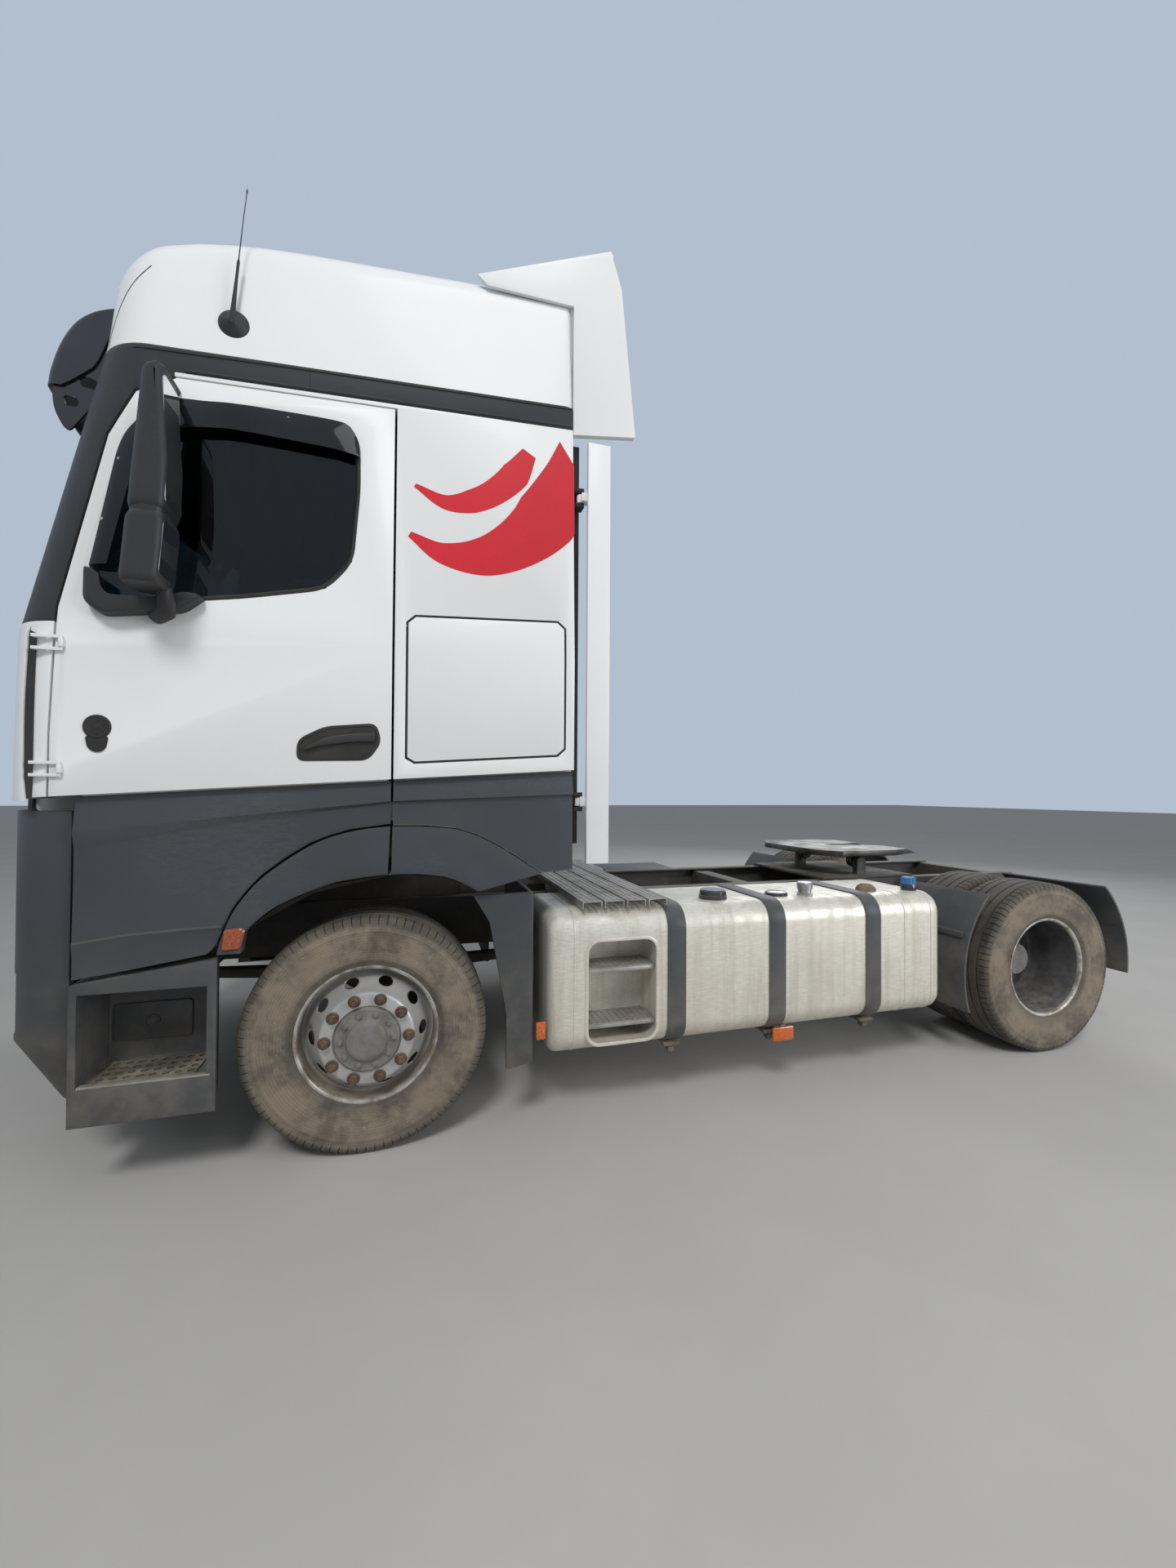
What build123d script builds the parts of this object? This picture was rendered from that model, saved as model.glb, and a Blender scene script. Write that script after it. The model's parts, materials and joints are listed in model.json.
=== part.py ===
"""Two-axle tractor unit of a lorry: ladder chassis, steered front axle, twin-wheel
rear axle, tilting sleeper cab, fifth-wheel coupling. Millimetres, +X forward,
+Y to the left, +Z up, origin on the ground in the middle of length and width."""

from build123d import *
import os
from math import cos, radians, sin, tan

# Driving dimensions: layout
wheelbase = 3850
front_overhang = 1420
rear_overhang = 750
body_half_width = 1245
front_track_half = 1020
rear_track_half = 900
twin_spacing = 350

# Driving dimensions: wheels and tyres
tyre_radius = 506
tyre_width = 315
bead_radius = 286
rim_width = 254
wheel_offset = 175
spindle_radius = 50
bearing_gap = 0.3
hub_radius = 132
twin_hub_pilot = 140

# Driving dimensions: frame
rail_top = 950
rail_depth = 270
rail_flange = 75
rail_wall = 10
rail_outer = 430
rail_front = 1000
kingpin_half = 870
kingpin_radius = 25
tie_pin = 14
steering_arm = 190
tie_rod_height = 375
spring_end_top = 632
tilt_pin = 22
lamp_depth = 60
bumper_wall = 35
bumper_arm = 1300

# Driving dimensions: cab
cab_rear = -880
cab_wall = 60
floor_low = 1420
floor_thickness = 80
pan_half_width = 1180
skirt_thickness = 35
tilt_pivot_x = 1270
tilt_pivot_z = 970
shut_gap = 10
door_hinge_x = 1060
door_rear_x = -85
door_hinge_y = 1253
glass_thickness = 6
door_hinge_levels = (1620, 2080)
door_pin = 5
flap_hinge = (1228, 2250)
flap_pin = 6
seat = 0.3

# Driving dimensions: equipment
tank_front = -775
tank_length = 2265
tank_top = 990
tank_bottom = 326
tank_inner = 575
tank_outer = 1222
tank_corner = 110
tank_wall_gap = 0.3
fifth_wheel_ahead = 600
fifth_wheel_top = 1150
kingpin_bore = 25.5
coupling_pivot_z = 1060

front_axle_x = (front_overhang + wheelbase + rear_overhang) / 2 - front_overhang
rear_axle_x = front_axle_x - wheelbase
rear_end = rear_axle_x - rear_overhang
front_end = front_axle_x + front_overhang
axle_z = tyre_radius
rail_bottom = rail_top - rail_depth
rail_inner = rail_outer - rail_wall
coupling_x = rear_axle_x + fifth_wheel_ahead

os.makedirs("parts", exist_ok=True)


def fx(x):
    """Place given from the front axle, in the model's own X."""
    return front_axle_x + x


def at_y(y):
    """Side-view drawing plane at y; its extrusions run towards -Y."""
    return Plane.XZ.offset(-y)


def at_x(x):
    """End-view drawing plane at x; its extrusions run towards +X."""
    return Plane.YZ.offset(x)


def from_axle(points):
    """Side-view points given from the front axle, in the model's own X."""
    return [(fx(x), z) for x, z in points]


def slab(x, y, z):
    """Box between two values on each axis, added to the part in hand."""
    with Locations(((x[0] + x[1]) / 2, (y[0] + y[1]) / 2, (z[0] + z[1]) / 2)):
        Box(abs(x[1] - x[0]), abs(y[1] - y[0]), abs(z[1] - z[0]))


def cut_slab(x, y, z):
    """Box between two values on each axis, cut from the part in hand."""
    with Locations(((x[0] + x[1]) / 2, (y[0] + y[1]) / 2, (z[0] + z[1]) / 2)):
        Box(abs(x[1] - x[0]), abs(y[1] - y[0]), abs(z[1] - z[0]), mode=Mode.SUBTRACT)


def bar(radius, start, end, mode=Mode.ADD):
    """Round bar between two points."""
    run = Vector(*end) - Vector(*start)
    with BuildSketch(Plane(origin=start, z_dir=run)) as section:
        Circle(radius)
    extrude(section.sketch, amount=run.length, mode=mode)


def keep(piece, label):
    piece.part.label = label
    export_step(piece.part, f"parts/{label}.step")


def keep_pair(left, label):
    """Write a left-hand piece and its mirror image."""
    keep(left, f"{label}_left")
    with BuildPart() as right:
        mirror(left.part, about=Plane.XZ)
    keep(right, f"{label}_right")


# Chassis frame: two channel rails, crossmembers, supports of cab and bumper
crossmembers = [  # x from the front axle, low z, high z, length along x
    (930, 700, 900, 90),
    (-1250, 850, 930, 110),
    (-2350, 800, 930, 110),
    (-3300, 800, 930, 110),
    (rear_end - front_axle_x + 40, 700, 930, 80),
]
rail_end = rear_end + 20
cab_rest_x = -760
with BuildPart() as chassis_frame:
    with BuildSketch(at_x(rail_end)):
        Polygon(
            (rail_outer, rail_bottom),
            (rail_outer, rail_top),
            (rail_outer - rail_flange, rail_top),
            (rail_outer - rail_flange, rail_top - rail_wall),
            (rail_inner, rail_top - rail_wall),
            (rail_inner, rail_bottom + rail_wall),
            (rail_outer - rail_flange, rail_bottom + rail_wall),
            (rail_outer - rail_flange, rail_bottom),
        )
    extrude(amount=fx(rail_front) - rail_end)
    # Front post with the tilt pivot, and the arm out to the bumper
    slab((fx(rail_front - 60), fx(bumper_arm) - seat), (rail_outer - 60, rail_outer), (740, 900))
    slab((fx(tilt_pivot_x - 45), fx(tilt_pivot_x + 45)), (rail_outer - 60, rail_outer),
         (900, tilt_pivot_z + 40))
    bar(tilt_pin, (fx(tilt_pivot_x), rail_outer - 145, tilt_pivot_z), (fx(tilt_pivot_x), rail_outer, tilt_pivot_z))
    # Rear post that the cab rests on
    slab((fx(cab_rest_x - 50), fx(cab_rest_x + 50)), (rail_outer, rail_outer + 60), (rail_top - 200, floor_low - seat))
    # Plates over the air bellows
    for bellows_x in (-370, 370):
        with Locations((rear_axle_x + bellows_x, rail_outer - 25, rail_bottom - 8)):
            Box(250, 230, 16)
    # Spring hangers ahead of the rear axle and at both ends of the front springs
    slab((rear_axle_x + 640, rear_axle_x + 760), (rail_outer - 70, rail_outer), (480, rail_bottom))
    for hanger_x in (-900, 860):
        slab((fx(hanger_x), fx(hanger_x + 60)), (rail_outer - 60, rail_outer), (spring_end_top + seat, rail_bottom))
    mirror(about=Plane.XZ)
    for x, low, high, length in crossmembers:
        slab((fx(x - length / 2), fx(x + length / 2)), (-rail_inner, rail_inner), (low, high))
    # Bridge between the rear cab posts
    slab((fx(cab_rest_x - 30), fx(cab_rest_x + 30)), (-rail_outer - 1, rail_outer + 1), (1310, 1380))
    # Carrier of the rear lamps
    slab((rear_end + lamp_depth, rear_end + lamp_depth + 20), (-1000, 1000), (760, 860))
keep(chassis_frame, "chassis_frame")

# Front axle: forged I-beam with king pin eyes, parabolic springs and their clamps
beam_outline = [  # y, z along the left half
    (0, 400), (470, 400), (700, 451), (kingpin_half, 451), (kingpin_half, 561), (690, 561), (440, 520), (0, 520),
]
spring_y = rail_outer - 35
with BuildPart() as front_axle:
    with BuildSketch(at_x(fx(-50))):
        Polygon(beam_outline)
    extrude(amount=100)
    for face_x in (-50, 30):
        with BuildSketch(at_x(fx(face_x))):
            Polygon((0, 425), (460, 425), (660, 472), (660, 540), (450, 495), (0, 495))
        extrude(amount=20, mode=Mode.SUBTRACT)
    with Locations((fx(0), kingpin_half, 506)):
        Cylinder(58, 110)
        Cylinder(kingpin_radius + bearing_gap, 110, mode=Mode.SUBTRACT)
    # Spring seat, spring leaves and clamp plate
    slab((fx(-90), fx(90)), (spring_y - 40, spring_y + 40), (515, 560))
    with BuildSketch(at_y(spring_y + 40)):
        with BuildLine():
            lower = ThreePointArc((fx(-870), 600), (fx(0), 555), (fx(890), 600))
            rise = Line(lower @ 1, (fx(890), spring_end_top))
            upper = ThreePointArc(rise @ 1, (fx(0), 610), (fx(-870), spring_end_top))
            Line(upper @ 1, lower @ 0)
        make_face()
    extrude(amount=80)
    slab((fx(-90), fx(90)), (spring_y - 40, spring_y + 40), (600, 636))
    mirror(about=Plane.XZ)
keep(front_axle, "front_axle")

# Steering knuckles: fork over the beam eye, king pin, spindle, arm, brake caliper
fork_low = 412
fork_high = 600
with BuildPart() as knuckle:
    for low, high in ((fork_low, 450.7), (561.3, fork_high)):
        with Locations((fx(0), kingpin_half, (low + high) / 2)):
            Cylinder(58, high - low)
            with Locations((0, 42, 0)):
                Box(100, 85, high - low)
    slab((fx(-50), fx(50)), (kingpin_half + 62, kingpin_half + 85), (fork_low, fork_high))
    bar(kingpin_radius, (fx(0), kingpin_half, fork_low), (fx(0), kingpin_half, fork_high))
    bar(spindle_radius, (fx(0), kingpin_half + 80, axle_z), (fx(0), front_track_half + 150, axle_z))
    # Track-rod arm, straight back, with its ball pin
    slab((fx(-steering_arm - 25), fx(-30)), (kingpin_half - 25, kingpin_half + 25), (fork_low, 445))
    bar(tie_pin, (fx(-steering_arm), kingpin_half, tie_rod_height - 26),
        (fx(-steering_arm), kingpin_half, fork_low + 10))
    # Caliper behind the axle
    slab((fx(-225), fx(-165)), (kingpin_half + 40, kingpin_half + 120), (axle_z - 20, axle_z + 85))
    slab((fx(-180), fx(-40)), (kingpin_half + 62, kingpin_half + 85), (axle_z + 10, axle_z + 70))
keep_pair(knuckle, "knuckle")

# Track rod between the two knuckles
with BuildPart() as tie_rod:
    bar(22, (fx(-steering_arm), 30 - kingpin_half, tie_rod_height), (fx(-steering_arm), kingpin_half - 30, tie_rod_height))
    with Locations(*[(fx(-steering_arm), side * kingpin_half, tie_rod_height) for side in (1, -1)]):
        Cylinder(34, 52)
        Cylinder(tie_pin + bearing_gap, 52, mode=Mode.SUBTRACT)
keep(tie_rod, "tie_rod")

# Rear axle: banjo housing, tubes, spindles, air spring carriers, links
carrier_low = 360
carrier_high = 420
with BuildPart() as rear_axle:
    bar(68, (rear_axle_x, -590, axle_z), (rear_axle_x, 590, axle_z))
    bar(spindle_radius, (rear_axle_x, -rear_track_half - 50, axle_z), (rear_axle_x, rear_track_half + 50, axle_z))
    with BuildSketch(at_x(rear_axle_x - 130)):
        with Locations((0, axle_z)):
            RegularPolygon(200, 12)
    extrude(amount=260)
    with BuildSketch(at_x(rear_axle_x + 130)):
        with Locations((0, axle_z)):
            RegularPolygon(170, 12)
    extrude(amount=180, taper=18)
    for side in (1, -1):
        carrier_y = side * (rail_outer - 25)
        slab((rear_axle_x - 480, rear_axle_x + 480), (carrier_y - 45, carrier_y + 45), (carrier_low, carrier_high))
        slab((rear_axle_x - 80, rear_axle_x + 80), (carrier_y - 55, carrier_y + 55), (carrier_high - 5, axle_z + 80))
        # Lower link to its hanger, upper link to the crossmember
        bar(24, (rear_axle_x + 470, carrier_y, 390), (rear_axle_x + 620, carrier_y, 520))
        slab((rear_axle_x + 600, rear_axle_x + 640), (carrier_y - 28, carrier_y + 28), (485, 555))
        bar(24, (rear_axle_x + 40, side * 40, axle_z + 170), (rear_axle_x + 475, side * 300, 840))
        slab((rear_axle_x + 455, rear_axle_x + 495), (side * 270, side * 330), (805, 875))
keep(rear_axle, "rear_axle")

# Air bellows between the carriers and the rails
bellows_low = carrier_high + seat
bellows_high = rail_bottom - 16 - seat
bellows_height = bellows_high - bellows_low
with BuildPart() as bellows:
    with BuildSketch(Plane.XZ):
        Polygon((0, 0), (80, 0), (80, 0.4 * bellows_height), (112, 0.4 * bellows_height), (112, bellows_height),
                (0, bellows_height))
    revolve(axis=Axis.Z)
with BuildPart() as air_bellows:
    with Locations(*[(rear_axle_x + x, side * (rail_outer - 25), bellows_low)
                     for x in (-370, 370) for side in (1, -1)]):
        add(bellows.part)
keep(air_bellows, "air_bellows")

# Engine: one plain block with its feet on the rails
with BuildPart() as engine_block:
    slab((fx(-450), fx(650)), (-340, 340), (640, 1330))
    for foot_x in (-350, 450):
        slab((fx(foot_x), fx(foot_x + 90)), (-rail_inner, rail_inner), (760, 860))
    slab((fx(700), fx(790)), (-338, 338), (660, 1300))
    slab((fx(640), fx(710)), (-200, 200), (800, 1150))
keep(engine_block, "engine_block")

# Gearbox and propeller shaft
shaft_front = (fx(-1190), 0, 770)
shaft_rear = (rear_axle_x + 310 + seat, 0, axle_z)
with BuildPart() as driveline:
    with BuildSketch(at_x(fx(-450) - seat)):
        with Locations((0, 800)):
            RegularPolygon(230, 12)
    extrude(amount=-420, taper=10)
    slab((fx(-1140), fx(-800)), (-150, 150), (640, 960))
    bar(80, (fx(-1130), 0, 770), shaft_front)
    bar(55, shaft_front, (shaft_rear[0] + 40, 0, axle_z + 15))
    bar(80, (shaft_rear[0] + 60, 0, axle_z), shaft_rear)
keep(driveline, "driveline")

# Wheels: rings turned about the axle, from sections given as distance from a middle plane and radius
def turned(axle_x, middle_y, section):
    with BuildSketch(Plane.XY.offset(axle_z)) as ring:
        Polygon(*[(axle_x + r, middle_y + y) for y, r in section])
    revolve(ring.sketch, axis=Axis((axle_x, 0, axle_z), (0, 1, 0)))


half_tyre = tyre_width / 2
tyre_section = [(-half_tyre, bead_radius), (-half_tyre, tyre_radius), (half_tyre, tyre_radius), (half_tyre, bead_radius)]
rim_seat = bead_radius - seat
rim_bore = bead_radius - 16
half_rim = rim_width / 2
disc_back = wheel_offset - 2
disc_front = wheel_offset + 11
hub_bore = spindle_radius + bearing_gap
front_wheel_section = [  # barrel, dished disc, hub with its cap, hub bore
    (half_rim, rim_seat), (-half_rim, rim_seat), (-half_rim, rim_bore), (disc_back - 123, rim_bore),
    (disc_back, 190), (disc_back, 120), (-60, 120), (-60, hub_bore), (wheel_offset - 20, hub_bore),
    (wheel_offset - 20, 0), (wheel_offset + 45, 0), (wheel_offset + 45, 82), (wheel_offset + 25, 82),
    (wheel_offset + 25, hub_radius), (disc_front, hub_radius), (disc_front, 190), (disc_front - 120, rim_bore),
    (half_rim, rim_bore),
]
with BuildPart() as front_tyre:
    turned(front_axle_x, front_track_half, tyre_section)
keep_pair(front_tyre, "front_tyre")

with BuildPart() as front_rim:
    turned(front_axle_x, front_track_half, front_wheel_section)
keep_pair(front_rim, "front_rim")

# Rear wheels: two rims back to back on one hub
rim_near = twin_spacing / 2 - half_rim
rim_far = twin_spacing / 2 + half_rim
twin_rim_section = [  # seen from the mounting face, rim reaching away from it
    (rim_far, rim_seat), (rim_near, rim_seat), (rim_near, rim_bore), (0, rim_bore), (0, twin_hub_pilot),
    (11, twin_hub_pilot), (11, rim_bore - 12), (rim_far, rim_bore - 12),
]
hub_section = [
    (-250, hub_bore), (-250, twin_hub_pilot - seat), (60, twin_hub_pilot - seat), (60, 100), (130, 100), (130, 0),
    (66, 0), (66, hub_bore),
]
with BuildPart() as rear_tyres:
    for middle in (rear_track_half - twin_spacing / 2, rear_track_half + twin_spacing / 2):
        turned(rear_axle_x, middle, tyre_section)
keep_pair(rear_tyres, "rear_tyres")

with BuildPart() as rear_rims:
    turned(rear_axle_x, rear_track_half, twin_rim_section)
    turned(rear_axle_x, rear_track_half, [(-y, r) for y, r in reversed(twin_rim_section)])
    turned(rear_axle_x, rear_track_half, hub_section)
keep_pair(rear_rims, "rear_rims")

# Cab outer form: plan outlines stacked upwards, each with straight sides, corner arcs and a bowed front
cab_sections = [  # z, half width, end of the straight side
    (1150, body_half_width, 1080),
    (2150, body_half_width, 1057),
    (3300, body_half_width - 60, 825),
    (4100, body_half_width - 100, 745),
]
cab_corner_radius = 210
cab_corner_turn = 78


def bowed_plan(z, side_start, side_end, half, radius, turn):
    """Face at z with straight sides, two corner arcs and the front arc that meets them smoothly."""
    corner = Vector(side_end + radius * sin(radians(turn)), half - radius * (1 - cos(radians(turn))))
    nose = Vector(corner.X + corner.Y * tan(radians(90 - turn) / 2), 0)
    mirrored = Vector(corner.X, -corner.Y)
    with BuildSketch(Plane.XY.offset(z)) as plan:
        with BuildLine():
            left = Line((side_start, half), (side_end, half))
            TangentArc(left @ 1, corner, tangent=(1, 0))
            ThreePointArc(corner, nose, mirrored)
            TangentArc((side_end, -half), mirrored, tangent=(1, 0))
            right = Line((side_end, -half), (side_start, -half))
            Line(right @ 1, left @ 0)
        make_face()
    return plan.sketch.face()


def cab_form(inset, low, high):
    """Body of the cab's outer shape, drawn in by inset, between two heights."""
    start = fx(cab_rear) + inset
    radius = cab_corner_radius - inset
    with BuildPart() as form:
        plans = [bowed_plan(z, start, fx(side_end), half - inset, radius, cab_corner_turn)
                 for z, half, side_end in cab_sections]
        loft(plans, ruled=True)
        with BuildSketch(Plane.XY.offset(low)):
            with Locations((fx(0), 0)):
                Rectangle(6000, 4000)
        extrude(amount=high - low, mode=Mode.INTERSECT)
    return form.part


# Side-view lines of the cab, given from the front axle
belt = ((1115, 1518), (cab_rear - 10, 1648))
band_low = ((1400, 3160), (cab_rear - 10, 3249))
band_high = ((1400, 3250), (cab_rear - 10, 3360))
pillar_front = [(1101, 1400), (1101, 1750), (1083, 2214), (953, 2900), (868, 3090), (735, 3169)]
roof_top = [(cab_rear - 10, 3960), (350, 3868)]
roof_nose = [(350, 3868), (900, 3750), (1200, 3330)]


def height_on(line, x):
    """Height of a straight side-view line at x."""
    (x0, z0), (x1, z1) = line
    return z0 + (z1 - z0) * (x - x0) / (x1 - x0)


def above(line, gap=0):
    """Side-view outline of everything above a line."""
    return from_axle([(1700, height_on(line, 1700) + gap), (1700, 4600), (-1300, 4600),
                      (-1300, height_on(line, -1300) + gap)])


def below(line, gap=0):
    """Side-view outline of everything below a line."""
    return from_axle([(1700, height_on(line, 1700) - gap), (1700, 900), (-1300, 900),
                      (-1300, height_on(line, -1300) - gap)])


# Side-view points from the front axle: door, door opening, window, stowage flap
door_front = [(1095, height_on(belt, 1095)), (1095, 1750), (1077, 2214), (947, 2895), (862, 3082), (729, 3163)]
door_top_rear = 3194
opening_front = [(x + 8, z + 7) for x, z in door_front]
pillar_foot = 2160
pillar_line = [(opening_front[1][0] - 16, pillar_foot)] + opening_front[2:]
door_outline = door_front + [(door_rear_x, door_top_rear), (door_rear_x, height_on(belt, door_rear_x))]
door_opening = [(opening_front[0][0], floor_low + floor_thickness)] + opening_front[1:] + [
    (door_rear_x - shut_gap, door_top_rear + 7), (door_rear_x - shut_gap, floor_low + floor_thickness)]
window_outline = [(985, 2360), (905, 2870), (760, 3070), (490, 3095), (150, 3095), (60, 3010), (55, 2820),
                  (78, 2500), (178, 2375), (479, 2310), (760, 2265), (960, 2255)]
flap_outline = [(-150, 1690), (-150, 2262), (-180, 2290), (-800, 2318), (-832, 2290), (-832, 1745), (-800, 1715),
                (-180, 1672)]


def grown(points, amount):
    """Side-view outline moved outwards by amount."""
    with BuildSketch(Plane.XY) as face:
        Polygon(*points)
        offset(amount=amount, kind=Kind.INTERSECTION)
    return face.sketch


def side_prism(points, low_y, high_y, mode):
    """Prism of a side-view outline on both sides of the cab."""
    for side in (1, -1):
        with BuildSketch(at_y(high_y if side > 0 else -low_y)) as face:
            Polygon(*from_axle(points))
        extrude(face.sketch, amount=high_y - low_y, mode=mode)


outer_form = cab_form(0, 1400, 4100)
inner_form = cab_form(cab_wall, 1400, 4100)
with BuildPart() as cab_wall_ring:
    add(outer_form)
    add(inner_form, mode=Mode.SUBTRACT)
    with BuildSketch(at_y(2000)):
        Polygon(*above(belt))
    extrude(amount=4000, mode=Mode.INTERSECT)

screen_opening = [(-1050, 2190), (-1000, 3135), (1000, 3135), (1050, 2190)]
grille_low = 1170
grille_high = 2040
grille_half = 900

pan_front = 1000
pan_wall_front = 940
pan_wall_top = 1680
floor_high = floor_low + floor_thickness
nose_floor = floor_high + 30
with BuildPart() as front_floor:
    add(cab_form(0, floor_low, nose_floor))
    with BuildSketch(Plane.XY.offset(floor_low)):
        with Locations((fx(1000), 0)):
            Rectangle(1000, 1760)
    extrude(amount=200, mode=Mode.INTERSECT)

# Cab shell: painted lower body with floor pan, rear wall and the openings of doors, flaps and screen
with BuildPart() as cab_shell:
    add(cab_wall_ring.part)
    with BuildSketch(at_y(2000)):
        Polygon(*below(band_low, seat))
    extrude(amount=4000, mode=Mode.INTERSECT)
    slab((fx(cab_rear), fx(pan_front)), (-pan_half_width, pan_half_width), (floor_low, floor_high))
    slab((fx(cab_rear), fx(cab_rear + cab_wall)), (-pan_half_width, pan_half_width), (floor_low, pan_wall_top))
    for side in (1, -1):
        slab((fx(cab_rear), fx(pan_wall_front)), (side * (pan_half_width - 50), side * pan_half_width),
             (floor_low, pan_wall_top))
        cut_slab((fx(pan_wall_front), fx(pan_front)), (side * (pan_half_width - 35), side * pan_half_width),
                 (floor_low, floor_high))
        slab((fx(cab_rear), fx(door_rear_x - shut_gap)), (side * pan_half_width, side * (pan_half_width + 10)),
             (floor_low, pan_wall_top))
    add(front_floor.part)
    side_prism(door_opening, 900, 1400, Mode.SUBTRACT)
    for side in (1, -1):
        with BuildSketch(at_y(1400 if side > 0 else -1150)):
            add(grown(from_axle(flap_outline), shut_gap))
        extrude(amount=250, mode=Mode.SUBTRACT)
    # Front pillars and the screen are other pieces
    with BuildSketch(at_y(2000)):
        Polygon(*from_axle([(1800, pillar_foot)] + pillar_line + [(pillar_line[-1][0], 3400), (1800, 3400)]))
    extrude(amount=4000, mode=Mode.SUBTRACT)
    for side in (1, -1):
        # Bores of the flap's pins and arms with the pins of the door
        for start, end in ((-870, -835), (-145, -110)):
            bar(flap_pin + bearing_gap, (fx(start), side * flap_hinge[0], flap_hinge[1]),
                (fx(end), side * flap_hinge[0], flap_hinge[1]), Mode.SUBTRACT)
        for level in door_hinge_levels:
            bar(door_pin, (fx(door_hinge_x), side * door_hinge_y, level - 28),
                (fx(door_hinge_x), side * door_hinge_y, level + 28))
            for low in (level - 28, level + 17):
                slab((fx(door_hinge_x), fx(1150)), (side * (door_hinge_y - 3), side * (door_hinge_y + 3)),
                     (low, low + 11))
                slab((fx(1112), fx(1150)), (side * (body_half_width - 20), side * (door_hinge_y + 3)),
                     (low, low + 11))
        # Tilt brackets down to the pivots
        with BuildSketch(at_y(side * 307 + 15)):
            Polygon(*from_axle([(880, floor_low), (1060, floor_low), (1165, 1150), (1305, 1000), (1300, 940),
                                (1245, 935), (1060, 1150)]))
        extrude(amount=30)
        with BuildSketch(at_y(side * 307 + 20)):
            with Locations((fx(tilt_pivot_x), tilt_pivot_z)):
                Circle(tilt_pin + seat)
        extrude(amount=40, mode=Mode.SUBTRACT)
keep(cab_shell, "cab_shell")

# Dark trim: front pillars and roof band with the screen opening
with BuildPart() as cab_trim:
    add(cab_wall_ring.part)
    with BuildSketch(at_y(2000)):
        Polygon(*from_axle(
            [(1800, pillar_foot + seat), (1800, height_on(band_high, 1800) - seat),
             (-1300, height_on(band_high, -1300) - seat), (-1300, height_on(band_low, -1300)),
             (pillar_line[-1][0] + seat, height_on(band_low, pillar_line[-1][0]))]
            + [(x + seat, max(z, pillar_foot + seat)) for x, z in reversed(pillar_line)]))
    extrude(amount=4000, mode=Mode.INTERSECT)
    with BuildSketch(at_x(fx(850))):
        Polygon(*screen_opening)
    extrude(amount=900, mode=Mode.SUBTRACT)
keep(cab_trim, "cab_trim")

# Posts of the side deflectors, on the rear wall
post_y = 1105
deflector_levels = (1500, 2950)
deflector_pin = 8
deflector_hinge = (fx(-930), 1140)
with BuildPart() as deflector_posts:
    for side in (1, -1):
        slab((fx(-930), fx(-900)), (side * (post_y - 15), side * (post_y + 15)), (1300, 3215))
        for level in deflector_levels:
            slab((fx(-930), fx(cab_rear) - seat), (side * (post_y - 15), side * (post_y + 15)),
                 (level - 45, level + 45))
            for low in (level - 45, level + 25):
                slab((fx(-945), fx(-905)), (side * post_y, side * 1160), (low, low + 20))
            bar(deflector_pin, (deflector_hinge[0], side * deflector_hinge[1], level - 45),
                (deflector_hinge[0], side * deflector_hinge[1], level + 45))
keep(deflector_posts, "deflector_posts")

# Side deflectors behind the cab, each on three pins
with BuildPart() as side_deflector:
    slab((fx(-1065), fx(-955)), (1170, 1198), (1210, 3200))
    for level in deflector_levels:
        slab((fx(-975), fx(-930)), (1128, 1175), (level - 20, level + 20))
        with Locations((*deflector_hinge, level)):
            Cylinder(16, 40)
            Cylinder(deflector_pin + seat, 40, mode=Mode.SUBTRACT)
keep_pair(side_deflector, "side_deflector")

# Roof: high shell above the band
roof_wall = 40
with BuildPart() as roof_block:
    add(cab_form(0, 3200, 4100))
    with BuildSketch(at_y(2000)):
        with BuildLine():
            rear = Line((fx(-1300), height_on(band_high, -1300)), (fx(-1300), height_on(roof_top, -1300)))
            crown = Line(rear @ 1, (fx(roof_nose[0][0]), roof_nose[0][1]))
            nose = ThreePointArc(crown @ 1, *from_axle(roof_nose[1:]))
            front = Line(nose @ 1, (fx(roof_nose[2][0]), height_on(band_high, roof_nose[2][0])))
            Line(front @ 1, rear @ 0)
        make_face()
    extrude(amount=4000, mode=Mode.INTERSECT)
with BuildPart() as cab_roof:
    add(roof_block.part)
    with BuildPart(mode=Mode.SUBTRACT):
        add(cab_form(cab_wall, 3200, 4100))
        with BuildSketch(at_y(2000)):
            with BuildLine():
                rear = Line((fx(-1300), 3000), (fx(-1300), height_on(roof_top, -1300) - roof_wall))
                crown = Line(rear @ 1, (fx(roof_nose[0][0]), roof_nose[0][1] - roof_wall))
                nose = ThreePointArc(crown @ 1, *[(x - roof_wall, z - roof_wall) for x, z in from_axle(roof_nose[1:])])
                front = Line(nose @ 1, (fx(roof_nose[2][0]) - roof_wall, 3000))
                Line(front @ 1, rear @ 0)
            make_face()
        extrude(amount=4000, mode=Mode.INTERSECT)
keep(cab_roof, "cab_roof")

# Windscreen and door glass: a thin layer set into the wall
glass_inset = 18
with BuildPart() as glass_layer:
    add(cab_form(glass_inset, 2100, 3300))
    add(cab_form(glass_inset + glass_thickness, 2100, 3300), mode=Mode.SUBTRACT)
with BuildPart() as windscreen:
    add(glass_layer.part)
    with BuildSketch(at_x(fx(850))):
        Polygon(*screen_opening)
        offset(amount=-seat, kind=Kind.INTERSECTION)
    extrude(amount=900, mode=Mode.INTERSECT)
keep(windscreen, "windscreen")

# Front panel with its slots, laid on the nose
with BuildPart() as front_grille:
    add(cab_form(-20, grille_low, grille_high))
    add(cab_form(-seat, grille_low, grille_high), mode=Mode.SUBTRACT)
    with Locations((fx(1400), 0, (grille_low + grille_high) / 2)):
        Box(400, 2 * grille_half, grille_high - grille_low, mode=Mode.INTERSECT)
    for low in (1240, 1330):
        cut_slab((fx(1300), fx(1500)), (-700, 700), (low, low + 40))
keep(front_grille, "front_grille")

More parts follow.
